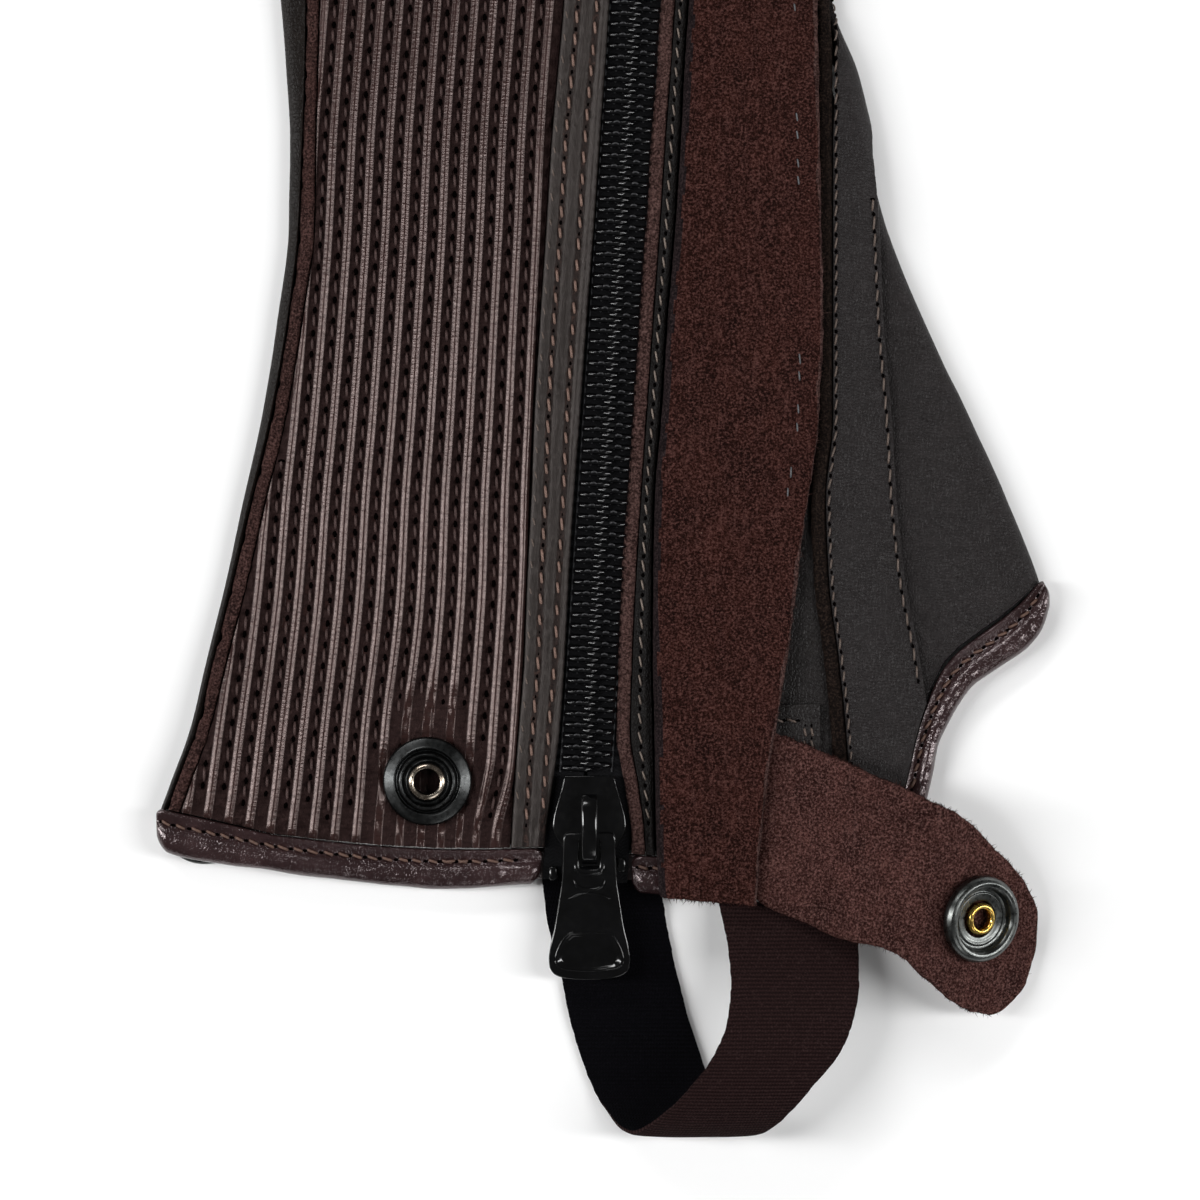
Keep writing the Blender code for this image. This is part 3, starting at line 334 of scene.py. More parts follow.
def shell(name, inner, normal, thick, mat, uv=None, back="full", weld=2e-6, body="chap", replaces=None,
          held="laid", rests_on=(), sharp=55.0, round_edge=True, wide=None):
    """A wall of cloth on the grid inner, grown along normal by thick (a number or a grid)."""
    r, c = inner.shape[:2]
    thick = np.broadcast_to(np.asarray(thick, float), (r, c))
    normal = np.broadcast_to(normal, inner.shape)
    outer = inner + normal * thick[..., None]
    ring = border(r, c)
    flat_outer, flat_inner = place(outer).reshape(-1, 3), place(inner).reshape(-1, 3)
    uvs = None if uv is None else uv.reshape(-1, 2)
    verts, coords, faces = [flat_outer], [uvs], [quads(r, c)]
    n = len(ring)
    nxt = np.roll(np.arange(n), -1)
    if round_edge:
        # the wall's edge bulges a little between its two faces
        mid = 0.5 * (flat_outer[ring] + flat_inner[ring])
        centre = 0.5 * (flat_outer[ring[nxt]] - flat_outer[np.roll(ring, 1)])
        across = np.cross(centre, (normal.reshape(-1, 3))[ring])
        across /= np.maximum(np.linalg.norm(across, axis=1), 1e-9)[:, None]
        mid_at = r * c
        verts.append(mid - across * (0.10 * MM))
        coords.append(None if uvs is None else uvs[ring])
        faces.append(np.stack([ring, ring[nxt], mid_at + nxt, mid_at + np.arange(n)], 1))
        last, step = mid_at + np.arange(n), mid_at + n
    else:
        last, step = ring, r * c
    if back == "full":
        verts.append(flat_inner)
        coords.append(uvs)
        faces.append(quads(r, c, step, flip=True))
        low = step + ring
    else:
        verts.append(flat_inner[ring])
        coords.append(None if uvs is None else uvs[ring])
        low = step + np.arange(n)
    faces.append(np.stack([last, last[nxt], low[nxt], low], 1))
    all_faces = np.concatenate(faces).tolist()
    if back == "ngon":
        all_faces.append(low[::-1].tolist())
    obj = mesh_object(name, np.concatenate(verts), all_faces, mat, None if uvs is None else np.concatenate(coords), weld, sharp)
    outward(obj.data)
    finish_piece(obj, body, [name.replace("_cloth", "")] if replaces is None else replaces)
    # the flat size, from the cloth's own lengths along and across
    q = inner * MM
    across_len = np.linalg.norm(np.diff(q, axis=1), axis=2).sum(1).max()
    along_len = np.linalg.norm(np.diff(q, axis=0), axis=2).sum(0).max()
    a = np.cross(q[1:, 1:] - q[:-1, :-1], q[1:, :-1] - q[:-1, 1:])
    area = 0.5 * np.linalg.norm(a, axis=2).sum()
    w, l = float(across_len) if wide is None else wide, float(along_len)
    FLAT[name] = (round(w, 4), round(l, 4), round(float(area), 6))
    SHEETS[name] = (obj, w, l, float(area), held, list(rests_on))
    return obj


# narrow strips and rows that are sewn on a wider sheet, listed under that sheet
SEWN_ON = {
    "inner_panel_cloth": ["back_edge_strip_cloth"],
    "leg_panel_cloth": ["zip_facing_cloth", "zip_edge_strip_cloth", "facing_stitches"],
    "front_panel_cloth": ["front_edge_strip_cloth", "seam_stitches"],
    "stretch_panel_cloth": ["rib_stitches"],
    "zip_band_cloth": ["band_stitches", "band_edge_stitches"],
    "zip_flap_cloth": ["flap_fringe_side", "flap_fringe_end", "flap_seam_thread"],
    "snap_tab_cloth": ["tab_fringe_upper", "tab_fringe_lower", "tab_fringe_tip"],
    "tab_root_cloth": ["tab_root_stitches"],
    "hem_binding_heel_cloth": ["hem_stitches"],
    "top_binding_back_cloth": ["top_binding_back_stitches"],
    "top_binding_front_cloth": ["top_binding_front_stitches"],
}
SHEETS = {}


def declare_sheets():
    narrow = {n for names in SEWN_ON.values() for n in names}
    for name, (obj, w, l, area, held, rests_on) in SHEETS.items():
        if name in narrow:
            continue
        w, l = max(w, 0.0101), max(l, 0.0101)
        sewn = [bpy.data.objects[n] for n in SEWN_ON.get(name, []) if n in bpy.data.objects]
        min(area, w * l)
        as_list(rests_on)


def heights(fine=1.0, coarse=3.0, split=182.0, low=14.0, top=None):
    top = PANEL_TOP if top is None else top
    a = np.arange(top, split, -coarse)
    b = np.arange(split, low + fine * 0.5, -fine)
    return np.concatenate([a, b, [low]])


def solve(at, us, hs, bottom, top=None):
    """Grid of (x, y, ...) for columns us: at(U, Y) gives x and more; each column ends at bottom(x, U)."""
    top = PANEL_TOP if top is None else top
    share = ((top - hs) / (top - hs[-1]))[:, None]
    U = np.asarray(us)[None, :]
    Y = top + (20.0 - top) * share + 0 * U
    for _ in range(40):
        out = at(U, Y)
        Y = Y + 0.5 * (top + (bottom(out[0], U) - top) * share - Y)
    return (*at(U, Y), Y, U + 0 * Y)


def stack(x, y, z, lifted=True):
    z = z + (lift(x, y) if lifted else 0.0)
    return np.stack(np.broadcast_arrays(x, y, z), -1)


UP = np.array([0.0, 0.0, 1.0])


def up_like(p):
    return np.broadcast_to(UP, p.shape)


# ---- threads
GAPS = []


class Threads:
    """Many stitches in one mesh."""

    def __init__(self, sides=6, rings=7):
        self.verts, self.faces, self.count = [], [], 0
        self.sides, self.rings = sides, rings

    def row(self, path, normals, pitch, length, radius, bow=0.25, slant=0.0, phase=0.5, sink=0.35, jitter=0.1, seed=3, holes=1):
        path = np.asarray(path, float)
        normals = np.broadcast_to(np.asarray(normals, float), path.shape)
        s = np.concatenate([[0], np.cumsum(np.linalg.norm(np.diff(path, axis=0), axis=1))])
        count = int((s[-1] - phase * pitch) / pitch)
        if count < 1:
            return
        centre = (np.arange(count) + phase) * pitch
        wob = np.array([_hash(k, 7, seed) for k in range(count)])
        wob2 = np.array([_hash(k, 13, seed) for k in range(count)])
        centre = centre + wob * jitter * pitch * 0.5
        t = np.linspace(-1, 1, self.rings)[None, :]
        half = 0.5 * length * (1 + 0.12 * wob2)[:, None]
        S = centre[:, None] + t * half
        P = np.stack([np.interp(S, s, path[:, k]) for k in range(3)], -1)
        N = np.stack([np.interp(S, s, normals[:, k]) for k in range(3)], -1)
        N /= np.linalg.norm(N, axis=-1, keepdims=True)
        T = np.stack([np.interp(S + 0.2, s, path[:, k]) - np.interp(S - 0.2, s, path[:, k]) for k in range(3)], -1)
        T /= np.maximum(np.linalg.norm(T, axis=-1, keepdims=True), 1e-9)
        B = np.cross(N, T)
        rise = radius * 0.35 + bow * (1 - t**2) - sink * t**4 * (1 + 0 * half)
        P = P + N * rise[..., None] + B * ((slant * t) * half + 0.06 * wob[:, None] * length * 0.2)[..., None]
        if holes is not None:
            at = np.concatenate([centre - pitch / 2, centre[-1:] + pitch / 2])
            g = np.stack([np.interp(at, s, path[:, k]) for k in range(3)], -1)
            t2 = np.stack([np.interp(at + 0.2, s, path[:, k]) - np.interp(at - 0.2, s, path[:, k]) for k in range(2)], -1)
            GAPS.append((holes, np.concatenate([g, (np.arctan2(t2[:, 1], t2[:, 0]) - math.pi / 2)[:, None]], 1)))
        m = len(P)
        if not m:
            return
        a = np.linspace(0, 2 * math.pi, self.sides, endpoint=False)
        rad = radius * (1 - 0.25 * t**6)[0][:, None]
        ring = P[:, :, None, :] + (rad * np.cos(a))[None, :, :, None] * B[:, :, None, :] + (rad * np.sin(a))[None, :, :, None] * N[:, :, None, :]
        k, n = self.rings, self.sides
        one = []
        for i in range(k - 1):
            for j in range(n):
                one.append((i * n + j, i * n + (j + 1) % n, (i + 1) * n + (j + 1) % n, (i + 1) * n + j))
        one = np.array(one)
        shift = (np.arange(m) * k * n)[:, None, None]
        self.faces += (one[None] + shift + self.count).reshape(-1, 4).tolist()
        for e, order in ((0, -1), (k - 1, 1)):
            cap = (np.arange(n) + e * n)[::order]
            self.faces += (cap[None] + (np.arange(m) * k * n)[:, None] + self.count).tolist()
        self.verts.append(ring.reshape(-1, 3))
        self.count += m * k * n

    def make(self, name, mat, slot_name, body="chap"):
        if not self.count:
            return None
        obj = mesh_object(name, place(np.concatenate(self.verts)), self.faces, mat, sharp=0)
        return finish_piece(obj, body)


class Heap:
    """Copies of small closed meshes, joined."""

    def __init__(self):
        self.verts, self.faces, self.count = [], [], 0

    def add(self, verts, faces, origins, angle=0.0, scale=None):
        verts = np.asarray(verts, float)
        origins = np.atleast_2d(np.asarray(origins, float))
        m, n = len(origins), len(verts)
        ang = np.broadcast_to(np.asarray(angle, float), (m,))
        co, si = np.cos(ang)[:, None], np.sin(ang)[:, None]
        sc = 1.0 if scale is None else np.broadcast_to(np.asarray(scale, float), (m,))[:, None]
        x = (verts[None, :, 0] * co - verts[None, :, 1] * si) * sc + origins[:, 0:1]
        y = (verts[None, :, 0] * si + verts[None, :, 1] * co) * sc + origins[:, 1:2]
        z = verts[None, :, 2] * sc + origins[:, 2:3]
        self.verts.append(np.stack([x, y, z], -1).reshape(-1, 3))
        for f in faces:
            f = np.asarray(f)
            self.faces += (f[None] + (np.arange(m) * n)[:, None] + self.count).tolist()
        self.count += m * n

    def make(self, name, mat, slot_name, body="chap", replaces=(), sharp=60.0):
        obj = mesh_object(name, place(np.concatenate(self.verts)), self.faces, mat, sharp=sharp)
        return finish_piece(obj, body, replaces)


def tube(path, radius, sides=8, taper=None):
    """Verts and faces of a closed tube along path (n, 3); radius a number or one a point."""
    path = np.asarray(path, float)
    n = len(path)
    rad = np.broadcast_to(np.asarray(radius, float), (n,))
    T = np.gradient(path, axis=0)
    T /= np.maximum(np.linalg.norm(T, axis=1, keepdims=True), 1e-9)
    ref = np.array([0.0, 1.0, 0.0]) if abs(T[:, 1]).mean() < 0.8 else np.array([1.0, 0.0, 0.0])
    B = np.cross(T, ref)
    B /= np.maximum(np.linalg.norm(B, axis=1, keepdims=True), 1e-9)
    N = np.cross(B, T)
    a = np.linspace(0, 2 * math.pi, sides, endpoint=False)
    v = path[:, None] + rad[:, None, None] * (np.cos(a)[None, :, None] * B[:, None] + np.sin(a)[None, :, None] * N[:, None])
    faces = []
    for i in range(n - 1):
        for j in range(sides):
            faces.append((i * sides + j, (i + 1) * sides + j, (i + 1) * sides + (j + 1) % sides, i * sides + (j + 1) % sides))
    faces.append(tuple(range(sides)))
    faces.append(tuple((n - 1) * sides + np.arange(sides)[::-1]))
    return v.reshape(-1, 3), faces


def curve_through(points, count):
    """A smooth path of count points through a short list."""
    p = np.asarray(points, float)
    s = np.concatenate([[0], np.cumsum(np.linalg.norm(np.diff(p, axis=0), axis=1))])
    q = np.linspace(0, s[-1], count)
    return np.stack([Line(s, p[:, k])(q) for k in range(p.shape[1])], -1)


def lathe(name, profile, mat, steps=96, matrix=None, body="chap", replaces=None):
    """A turned solid; profile runs once round its section, or from the axis to the axis."""
    prof = np.asarray(profile, float)
    closed = bool(np.allclose(prof[0], prof[-1]))
    if closed:
        prof = prof[:-1]
    n = len(prof)
    a = np.linspace(0, 2 * math.pi, steps, endpoint=False)
    v = np.stack([
        prof[:, None, 0] * np.cos(a)[None], prof[:, None, 0] * np.sin(a)[None], prof[:, None, 1] + 0 * a[None],
    ], -1).reshape(-1, 3) * MM
    faces = []
    for i in range(n if closed else n - 1):
        k = (i + 1) % n
        for j in range(steps):
            m = (j + 1) % steps
            faces.append((i * steps + j, k * steps + j, k * steps + m, i * steps + m))
    obj = mesh_object(name, v, faces, mat, weld=1e-7, sharp=42)
    bm = bmesh.new()
    bm.from_mesh(obj.data)
    bmesh.ops.dissolve_degenerate(bm, dist=1e-8, edges=bm.edges)
    bmesh.ops.recalc_face_normals(bm, faces=bm.faces)
    if matrix is not None:
        bm.transform(matrix)
    bm.to_mesh(obj.data)
    bm.free()
    obj.data.set_sharp_from_angle(angle=math.radians(42))
    return finish_piece(obj, body, [name.replace("_turned", "")] if replaces is None else replaces)


def rounded(points, r=0.15, n=3):
    """A profile whose corners are cut by small arcs."""
    p = np.asarray(points, float)
    closed = bool(np.allclose(p[0], p[-1]))
    q = p[:-1] if closed else p
    out = []
    for i in range(len(q)):
        if not closed and i in (0, len(q) - 1):
            out.append(q[i])
            continue
        a, b, c = q[i - 1], q[i], q[(i + 1) % len(q)]
        da, dc = a - b, c - b
        la, lc = np.linalg.norm(da), np.linalg.norm(dc)
        k = min(r, 0.4 * la, 0.4 * lc)
        s, e = b + da / la * k, b + dc / lc * k
        for t in np.linspace(0, 1, n):
            out.append((1 - t) ** 2 * s + 2 * t * (1 - t) * b + t * t * e)
    if closed:
        out.append(out[0])
    return out


# =====================================================================  materials
class Look:
    """A node material. Lengths in its textures are millimetres."""

    def __init__(self, name, color, rough, metal=0.0, **sockets):
        self.mat = bpy.data.materials.new(name)
        self.mat.use_nodes = True
        self.nt = self.mat.node_tree
        self.shader = self.nt.nodes["Principled BSDF"]
        self.shader.inputs["Base Color"].default_value = (*color, 1.0)
        self.shader.inputs["Roughness"].default_value = rough
        self.shader.inputs["Metallic"].default_value = metal
        for key, value in sockets.items():
            self.shader.inputs[key.replace("_", " ")].default_value = value
        self.mat.diffuse_color = (*color, 1.0)
        self.height = None
        self.coord = None

    def node(self, kind, **values):
        n = self.nt.nodes.new(kind)
        for key, value in values.items():
            setattr(n, key, value)
        return n

    def link(self, a, b):
        self.nt.links.new(a, b)

    def feed(self, n, name, value):
        socket = n.inputs[name]
        if hasattr(value, "is_output"):
            self.link(value, socket)
        else:
            socket.default_value = value

    def space(self, kind="Object", scale=(1000.0, 1000.0, 1000.0)):
        """Texture space in millimetres, or the piece's own UV, which is in millimetres already."""
        t = self.node("ShaderNodeTexCoord")
        m = self.node("ShaderNodeMapping")
        m.inputs["Scale"].default_value = scale
        self.link(t.outputs[kind], m.inputs["Vector"])
        return m.outputs["Vector"]

    def noise(self, space, size, detail=3.0, rough=0.55, distortion=0.0):
        n = self.node("ShaderNodeTexNoise")
        self.link(space, n.inputs["Vector"])
        n.inputs["Scale"].default_value = 1.0 / size
        n.inputs["Detail"].default_value = detail
        n.inputs["Roughness"].default_value = rough
        n.inputs["Distortion"].default_value = distortion
        return n.outputs["Fac"]

    def cells(self, space, size, feature="F1", out="Distance", randomness=1.0):
        n = self.node("ShaderNodeTexVoronoi", feature=feature)
        self.link(space, n.inputs["Vector"])
        n.inputs["Scale"].default_value = 1.0 / size
        n.inputs["Randomness"].default_value = randomness
        return n.outputs[out]

    def math(self, op, a, b=0.0, c=0.0, clamp=False):
        n = self.node("ShaderNodeMath", operation=op, use_clamp=clamp)
        for i, v in enumerate((a, b, c)):
            if hasattr(v, "is_output"):
                self.link(v, n.inputs[i])
            else:
                n.inputs[i].default_value = v
        return n.outputs[0]

    def span(self, value, a, b, c=0.0, d=1.0, smooth=False):
        n = self.node("ShaderNodeMapRange", interpolation_type="SMOOTHSTEP" if smooth else "LINEAR")
        self.link(value, n.inputs["Value"])
        for key, v in (("From Min", a), ("From Max", b), ("To Min", c), ("To Max", d)):
            n.inputs[key].default_value = v
        return n.outputs["Result"]

    def mix(self, fac, a, b):
        n = self.node("ShaderNodeMix", data_type="RGBA")
        if hasattr(fac, "is_output"):
            self.link(fac, n.inputs[0])
        else:
            n.inputs[0].default_value = fac
        for i, v in ((6, a), (7, b)):
            if hasattr(v, "is_output"):
                self.link(v, n.inputs[i])
            else:
                n.inputs[i].default_value = (*v, 1.0)
        return n.outputs[2]

    def parts(self, vector):
        n = self.node("ShaderNodeSeparateXYZ")
        self.link(vector, n.inputs[0])
        return n.outputs[0], n.outputs[1], n.outputs[2]

    def join(self, x, y, z=0.0):
        n = self.node("ShaderNodeCombineXYZ")
        for i, v in enumerate((x, y, z)):
            if hasattr(v, "is_output"):
                self.link(v, n.inputs[i])
            else:
                n.inputs[i].default_value = v
        return n.outputs[0]

    def color(self, socket):
        self.link(socket, self.shader.inputs["Base Color"])

    def roughness(self, socket):
        self.link(socket, self.shader.inputs["Roughness"])

    def bump(self, height, depth, strength=1.0):
        """height is 0 to 1, depth its reach in millimetres."""
        n = self.node("ShaderNodeBump")
        n.inputs["Strength"].default_value = strength
        n.inputs["Distance"].default_value = depth * MM
        self.link(height, n.inputs["Height"])
        if self.height is not None:
            self.link(self.height, n.inputs["Normal"])
        self.height = n.outputs["Normal"]
        self.link(self.height, self.shader.inputs["Normal"])


def leather(name, color, worn, dark, rough, grain=0.9, depth=0.10, wrinkle=0.0, spread=0.16, **sockets):
    """Smooth leather: a pebbled grain, fine pores, cloudy colour and a roughness that follows them."""
    k = Look(name, color, rough, **sockets)
    space = k.space()
    big = k.noise(space, 26.0, 3.0, 0.6)
    mid = k.noise(space, 5.0, 4.0, 0.62)
    fine = k.noise(space, 0.55, 3.0, 0.6)
    warp = k.noise(space, 1.6, 2.0)
    shifted = k.node("ShaderNodeVectorMath", operation="MULTIPLY_ADD")
    k.link(warp, shifted.inputs[0])
    shifted.inputs[1].default_value = (0.9, 0.9, 0.9)
    k.link(space, shifted.inputs[2])
    cell = k.cells(shifted.outputs[0], grain, "DISTANCE_TO_EDGE")
    pebble = k.span(cell, 0.0, 0.22, smooth=True)
    tone = k.math("ADD", k.math("MULTIPLY", big, 0.55), k.math("MULTIPLY", mid, 0.45))
    base = k.mix(k.span(tone, 0.34, 0.66), dark, color)
    base = k.mix(k.math("MULTIPLY", k.span(mid, 0.56, 0.78), 0.5), base, worn)
    base = k.mix(k.math("MULTIPLY", k.math("SUBTRACT", 1.0, pebble), 0.35), base, dark)
    k.color(base)
    k.roughness(k.span(k.math("ADD", k.math("MULTIPLY", mid, 0.6), k.math("MULTIPLY", fine, 0.4)), 0.25, 0.75, rough - spread / 2, rough + spread / 2))
    if wrinkle:
        k.bump(k.noise(space, 3.2, 4.0, 0.6, 0.6), wrinkle)
    k.bump(pebble, depth)
    k.bump(fine, depth * 0.5)
    return k.mat


def suede_look(name, color, light, dark, depth=0.28, patch=9.0, fleck=0.0, specks=True, **sockets):
    """The napped flesh side: fibres in tufts, brushed patches and pale flecks."""
    k = Look(name, color, 0.95, **sockets)
    space = k.space()
    patchy = k.noise(space, patch, 4.0, 0.62, 0.4)
    brushed = k.noise(k.space(scale=(1000.0, 420.0, 1000.0)), 3.0, 3.0, 0.6, 0.3)
    tuft = k.noise(space, 0.46, 4.0, 0.70)
    fibre = k.noise(k.space(scale=(1900.0, 1300.0, 1500.0)), 0.36, 3.0, 0.75)
    lines = k.noise(k.space(scale=(1000.0, 170.0, 1000.0)), 0.9, 3.0, 0.6, 0.2)
    tone = k.math("ADD", k.math("MULTIPLY", patchy, 0.5), k.math("MULTIPLY", brushed, 0.5))
    base = k.mix(k.span(tone, 0.36, 0.64), dark, color)
    base = k.mix(k.math("MULTIPLY", k.span(lines, 0.56, 0.70), 0.35), base, light)
    base = k.mix(k.math("MULTIPLY", k.span(tuft, 0.50, 0.66), 0.92), base, light)
    base = k.mix(k.math("MULTIPLY", k.span(tuft, 0.50, 0.38), 0.88), base, tuple(0.30 * c for c in dark))
    if specks:
        dots = k.cells(space, 3.1, "F1")
        chosen = k.noise(space, 5.0, 1.0)
        spot = k.math("MULTIPLY", k.span(dots, 0.055, 0.03), k.span(chosen, 0.58, 0.62))
        base = k.mix(k.math("MULTIPLY", spot, fleck), base, (0.30, 0.19, 0.155))
    k.color(base)
    k.bump(patchy, depth * 1.2, 0.6)
    k.bump(tuft, depth * 1.6)
    k.bump(fibre, depth * 0.9)
    return k.mat


# ---- ribbed leather: UV is (ribs across, millimetres along)
def ribbed_look(name, **sockets):
    k = Look(name, (0.02, 0.012, 0.011), 0.3, **sockets)
    uv = k.space("UV", (1.0, 1.0, 1.0))
    u, v, _ = k.parts(uv)
    space = k.space()
    phase = k.math("ABSOLUTE", k.math("SUBTRACT", k.math("FRACT", k.math("ADD", u, 0.5)), 0.5))
    cord = k.span(phase, 0.25, 0.15, smooth=True)
    gap = k.math("SUBTRACT", 1.0, cord)
    striae = k.noise(k.join(k.math("MULTIPLY", u, 1.1), k.math("MULTIPLY", v, 1.0)), 0.62, 2.0, 0.6)
    striae_fine = k.noise(k.join(k.math("MULTIPLY", u, 2.4), v), 0.30, 2.0, 0.6)
    pucker = k.noise(k.join(k.math("MULTIPLY", u, 5.2), k.math("MULTIPLY", v, 0.75)), 1.0, 3.0, 0.65, 0.5)
    cloud = k.noise(space, 22.0, 3.0)
    base = k.mix(k.span(cloud, 0.35, 0.65), (0.0240, 0.0114, 0.0103), (0.0330, 0.0168, 0.0152))
    # painted shade: the channels between the cords are painted darker, for the shade that falls between the raised
    # cords
    base = k.mix(k.math("MULTIPLY", gap, 0.80), base, (0.0160, 0.0074, 0.0069))
    # painted highlight: the raised puckers in the channels are painted lighter, as if they caught the light
    base = k.mix(k.math("MULTIPLY", k.math("MULTIPLY", k.span(pucker, 0.56, 0.66), gap), 0.60), base, (0.042, 0.023, 0.021))
    # painted shade: the troughs of the fine cross wrinkles on the cords are painted darker
    base = k.mix(k.math("MULTIPLY", k.span(striae, 0.50, 0.38), 0.5), base, (0.0075, 0.0035, 0.0032))
    k.color(base)
    k.roughness(k.math("ADD", k.span(cord, 0.0, 1.0, 0.75, 0.165), k.span(striae, 0.3, 0.7, 0.12, -0.03)))
    k.bump(k.math("MULTIPLY", pucker, gap), 0.55)
    k.bump(k.math("MULTIPLY", striae, cord), 0.060)
    k.bump(striae_fine, 0.022)
    return k.mat


RIBBED = ribbed_look("ribbed_leather_cord", IOR=1.40, Specular_Tint=(1.0, 0.80, 0.76, 1.0))
RIBBED_LOW = ribbed_look("ribbed_leather_channel", Specular_IOR_Level=0.10)

SMOOTH = leather("leather_smooth_dark", (0.0100, 0.0074, 0.0070), (0.0160, 0.0120, 0.0115), (0.0060, 0.0042, 0.0040), 0.48, 0.75, 0.07, Specular_IOR_Level=0.28)
GRAIN = leather("leather_grained", (0.0160, 0.0128, 0.0130), (0.0240, 0.0195, 0.0195), (0.0105, 0.0082, 0.0082), 0.52, 0.62, 0.11, 0.12, Specular_IOR_Level=0.25)
# the band: UV holds the distances from its two stitch lines, in millimetres
k = Look("leather_band", (0.019, 0.0145, 0.013), 0.42, Specular_IOR_Level=0.25, Specular_Tint=(1.0, 0.90, 0.86, 1.0))
uv = k.space("UV", (1.0, 1.0, 1.0))
u, v, _ = k.parts(uv)
space = k.space()
long_ways = k.space(scale=(1000.0, 300.0, 1000.0))
cloud = k.noise(space, 14.0, 3.0)
streak = k.noise(long_ways, 0.62, 4.0, 0.66, 0.5)
fine = k.noise(space, 0.36, 3.0, 0.65)
near = k.math("MINIMUM", k.math("ABSOLUTE", u), k.math("ABSOLUTE", v))
lane = k.span(k.math("ADD", near, k.math("MULTIPLY", k.math("SUBTRACT", streak, 0.5), 0.9)), 0.85, 0.40, smooth=True)
pucker = k.noise(k.space(scale=(1000.0, 640.0, 1000.0)), 0.95, 3.0, 0.6, 0.9)
base = k.mix(k.span(cloud, 0.35, 0.65), (0.0112, 0.0088, 0.0080), (0.0190, 0.0155, 0.0142))
# the raised streaks are lighter: partly worn grain, partly a painted highlight where they would catch the light
base = k.mix(k.math("MULTIPLY", k.span(streak, 0.52, 0.66), 0.50), base, (0.050, 0.043, 0.041))
# painted shade: a darker lane along each stitch line, for the shade in the stitch grooves
base = k.mix(k.math("MULTIPLY", lane, 0.88), base, (0.0100, 0.0048, 0.0040))
# painted shade: near black in the troughs of the puckers beside the stitches
base = k.mix(k.math("MULTIPLY", k.math("MULTIPLY", lane, k.span(pucker, 0.47, 0.40)), 0.85), base, (0.0022, 0.0013, 0.0011))
# painted highlight: the ridges of those puckers are painted lighter
base = k.mix(k.math("MULTIPLY", k.math("MULTIPLY", lane, k.span(pucker, 0.56, 0.64)), 0.55), base, (0.050, 0.026, 0.020))
k.color(base)
k.roughness(k.math("ADD", k.span(streak, 0.3, 0.7, 0.34, 0.50), k.math("MULTIPLY", lane, 0.28)))
k.bump(streak, 0.16)
k.bump(k.math("MULTIPLY", pucker, lane), 0.50)
k.bump(fine, 0.05)
BAND = k.mat
FACING = leather("leather_facing", (0.0062, 0.0046, 0.0042), (0.0110, 0.0085, 0.0078), (0.0030, 0.0022, 0.0020), 0.55, 0.70, 0.08, Specular_IOR_Level=0.18)
BINDING = leather("leather_hem", (0.0340, 0.0172, 0.0178), (0.052, 0.0290, 0.0300), (0.0140, 0.0064, 0.0068), 0.17, 0.60, 0.020, 0.10, 0.12, IOR=1.72, Specular_Tint=(1.0, 0.88, 0.89, 1.0))
INNER = leather("leather_inner_side", (0.0084, 0.0058, 0.0046), (0.0140, 0.0098, 0.0079), (0.0048, 0.0031, 0.0025), 0.46, 0.85, 0.07, 0.06, Specular_IOR_Level=0.13)
SUEDE = suede_look("suede_flap", (0.0400, 0.0128, 0.0096), (0.122, 0.052, 0.044), (0.0150, 0.0048, 0.0038), fleck=0.55, Specular_IOR_Level=0.06)
SUEDE_TAB = suede_look("suede_tab", (0.1060, 0.0420, 0.0350), (0.270, 0.136, 0.120), (0.0380, 0.0140, 0.0118), 0.62, 7.0, 0.9, Specular_IOR_Level=0.06)
# painted shade: the suede where the flap turns under at its root is painted darker and greyer, as if in the fold's
# shadow
SUEDE_FOLD_SHADE = suede_look("suede_fold_painted_shade", (0.0150, 0.0088, 0.0094), (0.040, 0.027, 0.028), (0.0060, 0.0034, 0.0038), 0.22, 7.0, specks=False, Specular_IOR_Level=0.10)
RAW_EDGE = suede_look("suede_raw_edge", (0.078, 0.040, 0.0350), (0.155, 0.090, 0.080), (0.034, 0.0160, 0.0140), 0.26, 4.0, specks=False, Specular_IOR_Level=0.10)
RAW_BACK = suede_look("suede_raw_back", (0.062, 0.0285, 0.0248), (0.135, 0.072, 0.064), (0.0220, 0.0096, 0.0084), 0.32, 4.0, specks=False, Specular_IOR_Level=0.10)
RAW_DARK = suede_look("suede_raw_front", (0.0125, 0.0074, 0.0054), (0.034, 0.022, 0.017), (0.0050, 0.0028, 0.0022), 0.24, 4.0, specks=False, Specular_IOR_Level=0.10)


def thread_look(name, color, light, rough=0.6, **sockets):
    """Twisted thread: diagonal ply lines and a little variation."""
    k = Look(name, color, rough, **sockets)
    space = k.space()
    wave = k.node("ShaderNodeTexWave", wave_type="BANDS", bands_direction="DIAGONAL")
    k.link(space, wave.inputs["Vector"])
    wave.inputs["Scale"].default_value = 1.1
    wave.inputs["Distortion"].default_value = 1.5
    ply = wave.outputs["Fac"]
    k.color(k.mix(k.math("MULTIPLY", k.noise(space, 3.0), k.math("ADD", 0.4, ply)), color, light))
    k.bump(ply, 0.05)
    return k.mat


